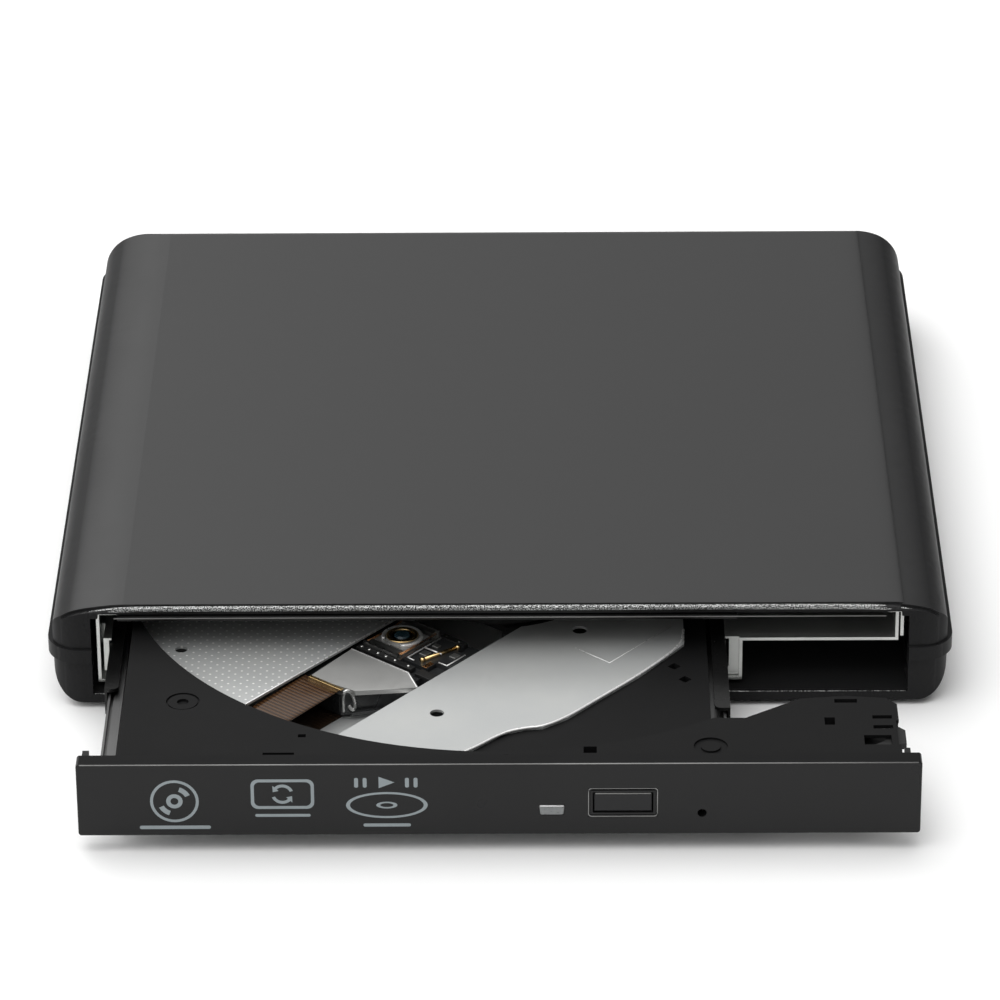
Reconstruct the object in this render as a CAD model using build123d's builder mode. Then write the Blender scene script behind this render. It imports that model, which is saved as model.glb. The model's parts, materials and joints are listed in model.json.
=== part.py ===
from build123d import *
import math
import os

os.makedirs("parts", exist_ok=True)

# ---------------------------------------------------------------------------
# Driving dimensions, in millimetres.
# x runs to the right, "depth" runs back from the front face of the case and
# z runs up from the desk. The tray is drawn part way out.
# ---------------------------------------------------------------------------
TRAY_OUT = 43.7
CASE_LENGTH = 141.5
FRONT = (TRAY_OUT - CASE_LENGTH) / 2

FOOT_Z = 1.0
SEAM_Z = 8.3
BAND_TOP_Z = 10.7
CASE_TOP_Z = 18.3
CEILING_Z = 17.0
FLOOR_Z = 2.5
COVER_WIDTH = 142.9
COVER_LENGTH = 141.0
BAND_WIDTH = 143.9
SHELL_WIDTH = 142.3
CORNER_R = 8.0
FRONT_CORNER_R = 4.8
BAND_FRONT_R = 5.5
SIDE_X = 71.0
LIP_DEPTH = 0.9
LIP_STEP = 0.35
MOUTH_WIDTH = 129.5

SHEET = 0.5
PAN_FRONT = 2.4
PAN_BACK = 128.0
PAN_Z = 3.4
PLATE_Z = 15.6
PAN_SIDE = 64.0
STEP_X = 38.5
WING_FLOOR_Z = 11.0
WING_WALL_X = 62.7

BEZEL_WIDTH = 128.0
BEZEL_HEIGHT = 12.5
BEZEL_Z = 2.9
BEZEL_THICK = 2.9
BEZEL_FRONT = -TRAY_OUT
TRAY_FRONT = BEZEL_FRONT + BEZEL_THICK
TRAY_BACK = 79.0
TRAY_LEFT = -58.2
TRAY_RIGHT = 32.8
TRAY_TOP_Z = 13.4
TRAY_FLOOR_Z = 10.0
TRAY_BASE_Z = 8.6
SKIRT_Z = 4.8
DEEP_BACK = 52.0

SPINDLE_DEPTH = 23.4
WELL_R = 60.1
TRAVERSE_ANGLE = 40.0
LENS_R = 24.2
SLOT_LOW_V = -4.3
SLOT_HIGH_V = 12.9
ROD_Z = 7.2
MAIN_ROD_V = 12.5
MAIN_ROD_R = 1.5
SIDE_ROD_V = -14.0
SIDE_ROD_R = 1.0
SCREW_V = 19.6
SCREW_R = 1.3

DISC_SEAT_Z = 11.6
TURNTABLE_R = 15.4
HUB_R = 7.4

RAIL_LENGTH = 95.0

# ---------------------------------------------------------------------------
# Working planes and small helpers
# ---------------------------------------------------------------------------
CASE = Plane(origin=(0, FRONT, 0), x_dir=(1, 0, 0), z_dir=(0, 0, 1))
_a = math.radians(TRAVERSE_ANGLE)
TRAVERSE = Plane(
    origin=(0, FRONT + SPINDLE_DEPTH, 0),
    x_dir=(-math.sin(_a), -math.cos(_a), 0),
    z_dir=(0, 0, 1),
)


def block(x0, x1, d0, d1, z0, z1, mode=Mode.ADD, plane=CASE):
    """A block between the given limits, in the frame of the plane."""
    centre = Location(((x0 + x1) / 2, (d0 + d1) / 2, (z0 + z1) / 2))
    with Locations(plane.location * centre):
        Box(x1 - x0, d1 - d0, z1 - z0, mode=mode)


def disc(x, d, r, z0, z1, mode=Mode.ADD, plane=CASE):
    """An upright cylinder between two heights, in the frame of the plane."""
    with Locations(plane.location * Location((x, d, (z0 + z1) / 2))):
        Cylinder(r, z1 - z0, mode=mode)


def bar(x, z, r, d0, d1, mode=Mode.ADD):
    """A round bar along the depth of the case."""
    with Locations(CASE.location * Location((x, (d0 + d1) / 2, z), (90, 0, 0))):
        Cylinder(r, d1 - d0, mode=mode)


def rod(u0, u1, v, z, r, mode=Mode.ADD):
    """A round bar along the pickup's line of travel."""
    with Locations(TRAVERSE.location * Location(((u0 + u1) / 2, v, z), (0, 90, 0))):
        Cylinder(r, u1 - u0, mode=mode)


def outline(points, z0, z1, mode=Mode.ADD, plane=CASE):
    """A straight-sided solid over a closed outline."""
    with BuildSketch(plane.offset(z0)) as plan:
        with BuildLine():
            Polyline(*points, close=True)
        make_face()
    extrude(plan.sketch, amount=z1 - z0, mode=mode)


def rounded(width, d0, d1, r, z0, z1, mode=Mode.ADD, taper=0):
    """A solid with a rounded rectangular plan, centred on x = 0."""
    with BuildSketch(CASE.offset(z0)) as plan:
        with Locations((0, (d0 + d1) / 2)):
            RectangleRounded(width, d1 - d0, r)
    extrude(plan.sketch, amount=z1 - z0, taper=taper, mode=mode)


def front_corner_cut(half_width, r, z0, z1):
    """Rounds the two upright front corners of a shell."""
    for side in (-1, 1):
        x = side * half_width
        inner = side * (half_width - r)
        with BuildSketch(CASE.offset(z0)) as plan:
            with BuildLine():
                Polyline((inner, 0), (inner, -2), (x + side * 2, -2), (x + side * 2, r), (x, r))
                RadiusArc((inner, 0), (x, r), -side * r)
            make_face()
        extrude(plan.sketch, amount=z1 - z0, mode=Mode.SUBTRACT)


def finish(part, name):
    """Labels a piece and writes its file."""
    part.label = name
    export_step(part, "parts/" + name + ".step")


# ---------------------------------------------------------------------------
# Outer case
# ---------------------------------------------------------------------------
SCREW_POSTS = [(-66.9, 20.0), (66.9, 20.0), (-66.9, 122.0), (66.9, 122.0)]
USB_X = 22.0

SIDE_CURVE = [(0, 13.5), (0.6, 15.4), (2.0, 16.6), (4.2, 17.4), (7.4, 17.95), (11.5, CASE_TOP_Z)]


def cover_profile(inset):
    """The cross-section of the cover, flat on top and falling away towards the sides."""
    right = [(SIDE_X - inset - x, z - inset) for x, z in SIDE_CURVE]
    left = [(-x, z) for x, z in reversed(right)]
    with BuildSketch(Plane.XZ.offset(-(FRONT + LIP_DEPTH))) as section:
        with BuildLine():
            Spline(*right, tangents=((0, 1), (-1, 0)))
            Line(right[-1], left[0])
            Spline(*left, tangents=((-1, 0), (0, -1)))
            Polyline(left[-1], (left[-1][0], 0), (right[0][0], 0), right[0])
        make_face()
    return section.sketch


with BuildPart() as cover_envelope:
    extrude(cover_profile(0), amount=-(CASE_LENGTH + 10))
    extrude(cover_profile(LIP_STEP), amount=LIP_DEPTH + 20)

with BuildPart() as top_cover:
    rounded(COVER_WIDTH, -12, COVER_LENGTH, CORNER_R, SEAM_Z, CASE_TOP_Z, taper=4)
    fillet(faces().sort_by(Axis.Z)[-1].edges(), radius=3.8)
    add(cover_envelope.part, mode=Mode.INTERSECT)
    block(-80, 80, -20, 0, 0, 30, mode=Mode.SUBTRACT)
    front_corner_cut(COVER_WIDTH / 2, FRONT_CORNER_R, SEAM_Z, CASE_TOP_Z + 1)
    with BuildSketch(CASE.offset(SEAM_Z)) as band:
        with Locations((0, CASE_LENGTH / 2)):
            RectangleRounded(BAND_WIDTH, CASE_LENGTH, CORNER_R - 1)
        with Locations((0, 9.75)):
            Rectangle(BAND_WIDTH, 20.5)
        fillet(band.vertices().group_by(Axis.Y)[0], radius=BAND_FRONT_R)
    extrude(band.sketch, amount=BAND_TOP_Z - SEAM_Z)
    rounded(138.8, 1.6, 139.4, 6.5, SEAM_Z, 13.5, mode=Mode.SUBTRACT)
    rounded(136.4, 1.6, 138.4, 6.0, 13.5, 15.2, mode=Mode.SUBTRACT)
    rounded(132.0, 1.6, 136.0, 4.0, 15.2, 16.2, mode=Mode.SUBTRACT)
    rounded(128.4, 1.6, 134.0, 3.0, 16.2, CEILING_Z, mode=Mode.SUBTRACT)
    for x, d in SCREW_POSTS:
        disc(x, d, 2.3, 5.0, 15.4)
        disc(x, d, 1.0, 4.0, 12.0, mode=Mode.SUBTRACT)
    block(-MOUTH_WIDTH / 2, MOUTH_WIDTH / 2, -2, 2.2, 5, 16.2, mode=Mode.SUBTRACT)
    block(-MOUTH_WIDTH / 2 + 1.2, MOUTH_WIDTH / 2 - 1.2, -2, 2.2, 16.2, CEILING_Z, mode=Mode.SUBTRACT)
    block(USB_X - 4.5, USB_X + 4.5, 137, 143, 5, 9.1, mode=Mode.SUBTRACT)
finish(top_cover.part, "top_cover")

with BuildPart() as bottom_shell:
    with BuildSketch(CASE.offset(SEAM_Z)):
        with Locations((0, (COVER_LENGTH - 12) / 2)):
            RectangleRounded(SHELL_WIDTH, COVER_LENGTH + 12, CORNER_R)
    extrude(amount=-(SEAM_Z - FOOT_Z), taper=2)
    fillet(faces().sort_by(Axis.Z)[0].edges(), radius=4.8)
    block(-80, 80, -20, 0, 0, 30, mode=Mode.SUBTRACT)
    front_corner_cut(SHELL_WIDTH / 2, FRONT_CORNER_R, 0, SEAM_Z)
    rounded(138.2, 1.8, 139.2, 6.4, SEAM_Z - 0.5, 9.7)
    rounded(130.0, 1.8, 136.5, 4.0, FLOOR_Z, 12, mode=Mode.SUBTRACT)
    rounded(135.8, 3.0, 138.0, 5.4, 4.6, 12, mode=Mode.SUBTRACT)
    block(-MOUTH_WIDTH / 2, MOUTH_WIDTH / 2, -2, 4, FLOOR_Z, 12, mode=Mode.SUBTRACT)
    for x, d in SCREW_POSTS:
        disc(x, d, 2.7, 4.0, 5.0)
        disc(x, d, 2.4, 5.0, 12, mode=Mode.SUBTRACT)
        disc(x, d, 1.9, 0, 3.4, mode=Mode.SUBTRACT)
        disc(x, d, 1.1, 3.0, 6, mode=Mode.SUBTRACT)
    for x in (-52.0, 0.0, 30.0):
        for d in (24.0, 110.0):
            disc(x, d, 3.2, FLOOR_Z, PAN_Z)
    for x, d in ((-52.0, 24.0), (30.0, 24.0), (-52.0, 110.0), (30.0, 110.0)):
        disc(x, d, 1.1, 0, 5, mode=Mode.SUBTRACT)
        disc(x, d, 2.1, 0, 1.9, mode=Mode.SUBTRACT)
    for x in (-8.0, 44.0):
        block(x - 2, x + 2, 130.5, 136, FLOOR_Z, 3.6)
    for x, d in ((-55.0, 11.0), (55.0, 11.0), (-55.0, 128.0), (55.0, 128.0)):
        disc(x, d, 4.6, 0, 1.4, mode=Mode.SUBTRACT)
    block(USB_X - 4.5, USB_X + 4.5, 136, 143, 4.1, 12, mode=Mode.SUBTRACT)
finish(bottom_shell.part, "bottom_shell")

with BuildPart() as rubber_feet:
    for x, d in ((-55.0, 11.0), (55.0, 11.0), (-55.0, 128.0), (55.0, 128.0)):
        disc(x, d, 4.5, 0, 1.4)
finish(rubber_feet.part, "rubber_feet")

with BuildPart() as case_screws:
    for x, d in SCREW_POSTS:
        disc(x, d, 1.8, 2.4, 3.4)
        disc(x, d, 0.98, 3.4, 9.5)
        block(x - 1.1, x + 1.1, d - 0.2, d + 0.2, 2.0, 2.8, mode=Mode.SUBTRACT)
        block(x - 0.2, x + 0.2, d - 1.1, d + 1.1, 2.0, 2.8, mode=Mode.SUBTRACT)
finish(case_screws.part, "case_screws")

DRIVE_SCREWS = [(-52.0, 24.0), (30.0, 24.0), (-52.0, 110.0), (30.0, 110.0)]

with BuildPart() as drive_screws:
    for x, d in DRIVE_SCREWS:
        disc(x, d, 2.0, 1.1, 1.9)
        disc(x, d, 0.98, 1.9, PAN_Z + SHEET)
        block(x - 1.2, x + 1.2, d - 0.2, d + 0.2, 0.9, 1.5, mode=Mode.SUBTRACT)
        block(x - 0.2, x + 0.2, d - 1.2, d + 1.2, 0.9, 1.5, mode=Mode.SUBTRACT)
finish(drive_screws.part, "drive_screws")

# ---------------------------------------------------------------------------
# Interface board at the back of the case
# ---------------------------------------------------------------------------
with BuildPart() as bridge_board:
    block(-12, 48, 129.6, 136.3, 3.6, 4.6)
    for x in (-10.0, 46.0):
        disc(x, 133.5, 0.8, 3, 5, mode=Mode.SUBTRACT)
finish(bridge_board.part, "bridge_board")

with BuildPart() as bridge_chips:
    block(-2, 3, 131.5, 136.5, 4.6, 5.5)
    block(6, 9.2, 133.0, 135.5, 4.6, 5.4)
    block(30, 33, 132.5, 135.5, 4.6, 5.6)
    for x in (-6.0, 12.0, 36.0, 39.0):
        block(x, x + 1.6, 133.5, 134.3, 4.6, 5.2)
finish(bridge_chips.part, "bridge_chips")

with BuildPart() as usb_socket:
    block(USB_X - 3.9, USB_X + 3.9, 132.0, 140.4, 4.6, 8.6)
    block(USB_X - 3.5, USB_X + 3.5, 132.6, 141, 5.0, 8.2, mode=Mode.SUBTRACT)
finish(usb_socket.part, "usb_socket")

with BuildPart() as usb_insert:
    block(USB_X - 3.5, USB_X + 3.5, 132.6, 134.2, 5.0, 8.2)
    block(USB_X - 2.6, USB_X + 2.6, 134.2, 139.6, 6.2, 7.1)
    for i in range(5):
        x = USB_X + (i - 2) * 0.8
        block(x - 0.18, x + 0.18, 134.2, 139.2, 7.1, 7.25)
finish(usb_insert.part, "usb_insert")

with BuildPart() as board_connector:
    block(4, 40, 129.0, 131.2, 4.6, 8.8)
    block(6, 38, 128.3, 129.0, 5.8, 7.4)
finish(board_connector.part, "board_connector")

with BuildPart() as drive_connector:
    block(5, 37.5, 122.4, 127.5, 5.4, 9.2)
    block(5.6, 37.4, 127.5, 128.3, 5.6, 7.6)
finish(drive_connector.part, "drive_connector")

# ---------------------------------------------------------------------------
# Steel chassis of the drive
# ---------------------------------------------------------------------------
with BuildPart() as chassis_pan:
    block(-PAN_SIDE, STEP_X, PAN_FRONT, PAN_BACK, PAN_Z, PAN_Z + SHEET)
    block(-PAN_SIDE, -PAN_SIDE + SHEET, PAN_FRONT, PAN_BACK, PAN_Z, PLATE_Z)
    block(STEP_X - SHEET, STEP_X, PAN_FRONT, PAN_BACK, PAN_Z, WING_FLOOR_Z)
    block(STEP_X - SHEET, WING_WALL_X + SHEET, PAN_FRONT, PAN_BACK, WING_FLOOR_Z - SHEET, WING_FLOOR_Z)
    block(WING_WALL_X, WING_WALL_X + SHEET, PAN_FRONT, PAN_BACK, WING_FLOOR_Z - SHEET, PLATE_Z)
    block(-PAN_SIDE, STEP_X, PAN_BACK - SHEET, PAN_BACK, PAN_Z, PLATE_Z)
    block(STEP_X - SHEET, WING_WALL_X + SHEET, PAN_BACK - SHEET, PAN_BACK, WING_FLOOR_Z - SHEET, PLATE_Z)
    block(-61.9, 36.0, 0, 16, 3, PAN_Z + 1, mode=Mode.SUBTRACT)
    block(5.4, 37.6, 126, 129, 5.2, 9.4, mode=Mode.SUBTRACT)
    block(44, 58, 30, 48, 10, 11.5, mode=Mode.SUBTRACT)
    block(46, 56, 70, 98, 10, 11.5, mode=Mode.SUBTRACT)
    for x, d in ((-40.0, 100.0), (24.0, 100.0), (-40.0, 124.0), (-6.0, 124.0)):
        disc(x, d, 2.0, PAN_Z, 4.4)
    for x, d in DRIVE_SCREWS:
        disc(x, d, 1.0, 3, 4.5, mode=Mode.SUBTRACT)
finish(chassis_pan.part, "chassis_pan")

with BuildPart() as chassis_top_plate:
    block(-PAN_SIDE, PAN_SIDE, PAN_FRONT, PAN_BACK, PLATE_Z, PLATE_Z + SHEET)
    block(PAN_SIDE - SHEET, PAN_SIDE, PAN_FRONT, PAN_BACK, WING_FLOOR_Z + 0.3, PLATE_Z)
    block(-59.9, 61.5, 0, 11, PLATE_Z - 1, PLATE_Z + 1, mode=Mode.SUBTRACT)
    block(-50, 20, 104, 110, PLATE_Z - 1, PLATE_Z + 1, mode=Mode.SUBTRACT)
    disc(-61.0, 40, 0.8, 15, 17, mode=Mode.SUBTRACT)
    disc(-61.0, 118, 0.8, 15, 17, mode=Mode.SUBTRACT)
finish(chassis_top_plate.part, "chassis_top_plate")


def channel(x_web, x_lip, web, flange, z0, z1, d0, d1):
    """A channel section whose back is at x_web and whose flanges reach x_lip."""
    side = 1 if x_lip > x_web else -1
    block(min(x_web, x_web + side * web), max(x_web, x_web + side * web), d0, d1, z0, z1)
    block(min(x_web, x_lip), max(x_web, x_lip), d0, d1, z0, z0 + flange)
    block(min(x_web, x_lip), max(x_web, x_lip), d0, d1, z1 - flange, z1)


with BuildPart() as rail_guide_left:
    channel(-63.0, -61.7, 0.85, 0.35, 5.2, 11.0, 3.0, 120.0)
    for d in (10.0, 60.0, 110.0):
        block(-PAN_SIDE + SHEET, -62.9, d, d + 5, 6.4, 9.8)
finish(rail_guide_left.part, "rail_guide_left")

with BuildPart() as rail_guide_right:
    channel(38.0, 35.7, 1.6, 0.35, 5.2, 10.9, 3.0, 120.0)
    block(35.9, 38.0, 3.0, 120.0, 4.0, 5.3)
finish(rail_guide_right.part, "rail_guide_right")

with BuildPart() as main_board:
    block(-57, 33, 97, 127.0, 4.4, 5.4)
    block(-20, 0, 96, 101, 4, 6, mode=Mode.SUBTRACT)
    for x, d in DRIVE_SCREWS:
        disc(x, d, 2.6, 4, 6, mode=Mode.SUBTRACT)
    block(4.6, 34, 122.2, 128, 4, 6, mode=Mode.SUBTRACT)
finish(main_board.part, "main_board")

with BuildPart() as main_board_chips:
    block(-34, -20, 106, 120, 5.4, 6.6)
    block(-12, -4, 108, 118, 5.4, 6.4)
    block(8, 15, 106, 112, 5.4, 6.4)
    block(-50, -44, 116, 121, 5.4, 7.4)
    for i in range(6):
        x = 2 + i * 3.4
        block(x, x + 1.8, 115.5, 116.5, 5.4, 6.1)
    block(-20, 0, 101.0, 104.5, 5.4, 7.0)
finish(main_board_chips.part, "main_board_chips")

with BuildPart() as main_flex:
    block(-18, -2, 46, 100.2, PAN_Z + SHEET, PAN_Z + SHEET + 0.15)
finish(main_flex.part, "main_flex")

# ---------------------------------------------------------------------------
# Telescoping rails
# ---------------------------------------------------------------------------
with BuildPart() as rail_left:
    channel(-61.9, -59.7, 0.4, 0.6, 5.85, 10.35, -12.0, -12.0 + RAIL_LENGTH)
    fillet(edges().filter_by(Axis.Z).group_by(Axis.Y)[0].group_by(Axis.X)[-1], radius=1.0)
finish(rail_left.part, "rail_left")

with BuildPart() as rail_right:
    channel(35.9, 33.5, 0.4, 0.6, 5.85, 10.35, -18.5, -18.5 + RAIL_LENGTH)
    fillet(edges().filter_by(Axis.Z).group_by(Axis.Y)[0].group_by(Axis.X)[0], radius=1.0)
finish(rail_right.part, "rail_right")

# ---------------------------------------------------------------------------
# Disc tray and its front
# ---------------------------------------------------------------------------
WING = [
    (32.0, TRAY_FRONT), (61.4, TRAY_FRONT), (61.4, -22.8), (59.8, -20.9), (53.5, -20.2),
    (46.5, -21.0), (37.9, -26.8), (32.0, -26.8),
]
TRAVERSE_OPENING = [
    (-20, -20), (62, -20), (77.5, -9.5), (77.5, 4.5), (70, 14.6), (63, 23.2), (-14, 24), (-20, 18),
]
HOOK = [(60.2, -34.2), (62.3, -33.4), (62.3, -29.6), (61.4, -28.6), (60.2, -28.6)]

with BuildPart() as tray:
    block(TRAY_LEFT, TRAY_RIGHT, TRAY_FRONT, TRAY_BACK, TRAY_BASE_Z, TRAY_TOP_Z)
    outline(WING, 11.4, TRAY_TOP_Z)
    disc(0, SPINDLE_DEPTH, WELL_R, TRAY_FLOOR_Z, 20, mode=Mode.SUBTRACT)
    block(TRAY_LEFT, TRAY_LEFT + 1.2, TRAY_FRONT, DEEP_BACK, SKIRT_Z, TRAY_BASE_Z)
    block(TRAY_RIGHT - 1.2, TRAY_RIGHT, TRAY_FRONT, DEEP_BACK, SKIRT_Z, TRAY_BASE_Z)
    block(TRAY_LEFT, TRAY_RIGHT, TRAY_FRONT, TRAY_FRONT + 1.2, SKIRT_Z, TRAY_BASE_Z)
    block(TRAY_LEFT, TRAY_RIGHT, DEEP_BACK - 1.2, DEEP_BACK, SKIRT_Z, TRAY_BASE_Z)
    for x, d in ((-54.0, 45.0), (28.0, 45.0), (-54.0, 5.0), (28.0, -6.0)):
        disc(x, d, 2.4, SKIRT_Z, TRAY_BASE_Z)
        disc(x, d, 0.9, SKIRT_Z - 1, TRAY_BASE_Z, mode=Mode.SUBTRACT)
    outline(TRAVERSE_OPENING, 8.0, 10.45, mode=Mode.SUBTRACT, plane=TRAVERSE)
    block(1.0, 31.6, TRAY_FRONT + 1.2, -36.9, 8.0, 11.6, mode=Mode.SUBTRACT)
    block(16.2, 21.4, TRAY_FRONT + 1.2, -34.9, 8.0, 11.6, mode=Mode.SUBTRACT)
    block(4.6, 26.4, TRAY_FRONT - 1, TRAY_FRONT + 1.4, 5.4, 11.6, mode=Mode.SUBTRACT)
    block(29.2, 32.4, TRAY_FRONT - 1, -38, 5.2, 8.0, mode=Mode.SUBTRACT)
    disc(-49.0, -21.1, 2.6, 13.1, 14, mode=Mode.SUBTRACT)
    disc(-49.0, -21.1, 2.3, 12.9, 13.3)
    disc(-49.0, -21.1, 0.9, 12.9, 14, mode=Mode.SUBTRACT)
    disc(32.3, -35.3, 2.6, 13.1, 14, mode=Mode.SUBTRACT)
    disc(32.3, -35.3, 1.5, 12.9, 13.4)
    block(-30.8, -29.6, -32.2, -31.3, 12.4, 14, mode=Mode.SUBTRACT)
    block(-36.0, -31.2, -37.6, -36.8, 12.4, 14, mode=Mode.SUBTRACT)
    block(12.4, 14.9, -37.2, -35.3, 11, 14, mode=Mode.SUBTRACT)
    for x, d in ((27.5, -4.9), (29.1, -9.0)):
        with Locations(CASE.location * Location((x, d, 10), (0, 0, 45))):
            Box(1.5, 1.5, 2.0, mode=Mode.SUBTRACT)
    block(51.8, 55.3, -22.3, -21.2, 11, 14, mode=Mode.SUBTRACT)
    block(50.0, 51.6, -29.0, -26.8, 11, 14, mode=Mode.SUBTRACT)
    for d in (-27.2, -30.2):
        block(57.4, 60.4, d, d + 1.0, 12.6, 14, mode=Mode.SUBTRACT)
    block(55.8, 60.0, -35.0, -32.2, 11, 14, mode=Mode.SUBTRACT)
    block(52.5, 62.0, -39.6, -26.8, 11, 12.9, mode=Mode.SUBTRACT)
    block(61.0, 63.0, -35.0, -27.8, 11, 14, mode=Mode.SUBTRACT)
    disc(56.2, -37.0, 1.2, 11.6, 12.95)
    for x, d in ((-48.0, 70.0), (24.0, 70.0)):
        block(x - 6, x + 6, d - 2, d + 2, 8, 11, mode=Mode.SUBTRACT)
finish(tray.part, "tray")

BUTTON_X = 18.8
BUTTON_Z = 8.5

with BuildPart() as bezel:
    block(-BEZEL_WIDTH / 2, BEZEL_WIDTH / 2, BEZEL_FRONT, TRAY_FRONT, BEZEL_Z, BEZEL_Z + BEZEL_HEIGHT)
    fillet(edges().filter_by(Axis.Y), radius=0.5)
    fillet(faces().sort_by(Axis.Y)[0].edges(), radius=0.25)
    block(-63.2, -62.2, TRAY_FRONT, -39.2, 11.8, 15.3)
    block(61.5, 62.4, TRAY_FRONT, -39.2, 11.8, 15.3)
    block(-56, -46, TRAY_FRONT, -39.6, TRAY_TOP_Z, 14.6)
    block(20, 30, TRAY_FRONT, -39.6, TRAY_TOP_Z, 14.6)
    block(BUTTON_X - 5.3, BUTTON_X + 5.3, BEZEL_FRONT - 1, BEZEL_FRONT + 0.25, BUTTON_Z - 2.5, BUTTON_Z + 2.5,
          mode=Mode.SUBTRACT)
    block(BUTTON_X - 4.9, BUTTON_X + 4.9, BEZEL_FRONT, BEZEL_FRONT + 0.5, BUTTON_Z - 2.1, BUTTON_Z + 2.1)
    block(BUTTON_X - 4.6, BUTTON_X + 4.6, BEZEL_FRONT - 1, TRAY_FRONT + 1, BUTTON_Z - 1.8, BUTTON_Z + 1.8,
          mode=Mode.SUBTRACT)
    with BuildSketch(Plane.XZ.offset(-(FRONT + BEZEL_FRONT - 1))) as led_cut:
        with BuildLine():
            Polyline((6.2, 6.3), (9.8, 6.3), (10.0, 8.1), (6.0, 8.1), close=True)
        make_face()
        fillet(led_cut.vertices(), radius=0.3)
    extrude(led_cut.sketch, amount=-5, mode=Mode.SUBTRACT)
    bar(30.8, 6.6, 0.7, BEZEL_FRONT - 1, TRAY_FRONT + 1, mode=Mode.SUBTRACT)
finish(bezel.part, "bezel")

with BuildPart() as led_window:
    with BuildSketch(Plane.XZ.offset(-(FRONT + BEZEL_FRONT + 0.1))) as led_face:
        with BuildLine():
            Polyline((6.26, 6.35), (9.74, 6.35), (9.93, 8.05), (6.07, 8.05), close=True)
        make_face()
        fillet(led_face.vertices(), radius=0.27)
    extrude(led_face.sketch, amount=-5.3)
finish(led_window.part, "led_window")

with BuildPart() as eject_button:
    block(BUTTON_X - 4.45, BUTTON_X + 4.45, BEZEL_FRONT + 0.1, TRAY_FRONT + 0.3, BUTTON_Z - 1.65, BUTTON_Z + 1.65)
    fillet(faces().sort_by(Axis.Y)[0].edges(), radius=0.3)
    block(BUTTON_X - 5.2, BUTTON_X + 5.2, TRAY_FRONT + 0.1, TRAY_FRONT + 0.8, BUTTON_Z - 2.3, BUTTON_Z + 2.3)
    block(BUTTON_X - 1.0, BUTTON_X + 1.0, TRAY_FRONT + 0.8, -38.0, BUTTON_Z - 1.0, BUTTON_Z + 1.0)
finish(eject_button.part, "eject_button")

with BuildPart() as switch_board:
    block(2.0, 28.4, -39.4, -31.0, 5.0, 5.8)
finish(switch_board.part, "switch_board")

with BuildPart() as switch_and_led:
    block(16.8, 20.8, -36.6, -35.0, 5.8, 10.2)
    block(17.9, 19.7, -37.1, -36.6, 7.6, 9.4)
    block(7.2, 8.8, -38.2, -37.2, 5.8, 7.4)
finish(switch_and_led.part, "switch_and_led")

with BuildPart() as release_slider:
    block(29.6, 31.4, -38.6, -29.0, 5.4, 7.8)
    block(30.0, 31.2, -29.0, -24.0, 6.0, 7.2)
finish(release_slider.part, "release_slider")

with BuildPart() as latch_magnet:
    block(21.0, 28.6, -29.4, -22.0, 4.9, 5.3)
    bar(24.8, 7.0, 1.6, -28.6, -22.8)
    block(22.6, 27.0, -29.4, -28.6, 5.3, 8.5)
    block(22.6, 27.0, -22.8, -22.0, 5.3, 8.5)
finish(latch_magnet.part, "latch_magnet")

with BuildPart() as latch_lever:
    disc(56.2, -37.0, 2.4, 11.7, 12.7)
    outline([(54.6, -35.9), (57.6, -37.6), (61.5, -33.6), (60.2, -29.0), (58.9, -32.8)], 11.7, 12.7)
    outline(HOOK, 11.7, 12.7)
    disc(56.2, -37.0, 1.26, 11, 14, mode=Mode.SUBTRACT)
finish(latch_lever.part, "latch_lever")

with BuildPart() as tray_rail_left:
    block(-61.25, TRAY_LEFT, -38.0, 75.0, 6.8, 8.5)
    block(-61.25, -60.9, -38.0, 75.0, 8.5, 9.4)
    block(-60.4, -59.0, -38.0, 75.0, 8.5, 9.1)
finish(tray_rail_left.part, "tray_rail_left")

with BuildPart() as tray_rail_right:
    block(TRAY_RIGHT, 35.25, -26.0, 75.0, 6.8, 8.5)
    block(34.85, 35.25, -26.0, 75.0, 8.5, 9.4)
finish(tray_rail_right.part, "tray_rail_right")

# ---------------------------------------------------------------------------
# Traverse: shield plates, frame, rods and drive
# ---------------------------------------------------------------------------
with BuildPart() as shield_plate_left:
    disc(0, SPINDLE_DEPTH, 59.5, TRAY_FLOOR_Z, 10.4)
    block(-30, 90, SLOT_LOW_V, 90, 9, 11, mode=Mode.SUBTRACT, plane=TRAVERSE)
    block(-90, -22, -90, 90, 9, 11, mode=Mode.SUBTRACT, plane=TRAVERSE)
    block(-80, -57.4, -90, 90, 9, 11, mode=Mode.SUBTRACT)
    disc(0, SPINDLE_DEPTH, 16.4, 9, 11, mode=Mode.SUBTRACT)
    disc(-50.5, 0.4, 1.0, 9, 11, mode=Mode.SUBTRACT)
finish(shield_plate_left.part, "shield_plate_left")

RIGHT_PLATE = [
    (-9.6, -34.8), (-4.5, -31.3), (0.6, -26.0), (4.1, -24.6), (6.7, -24.3), (10.6, -21.4),
    (15.6, -15.6), (22.0, -8.4), (29.2, 1.5), (29.4, 38.0), (-2.0, 52.0), (-42.0, 10.0), (-36.0, -40.0),
]

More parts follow.
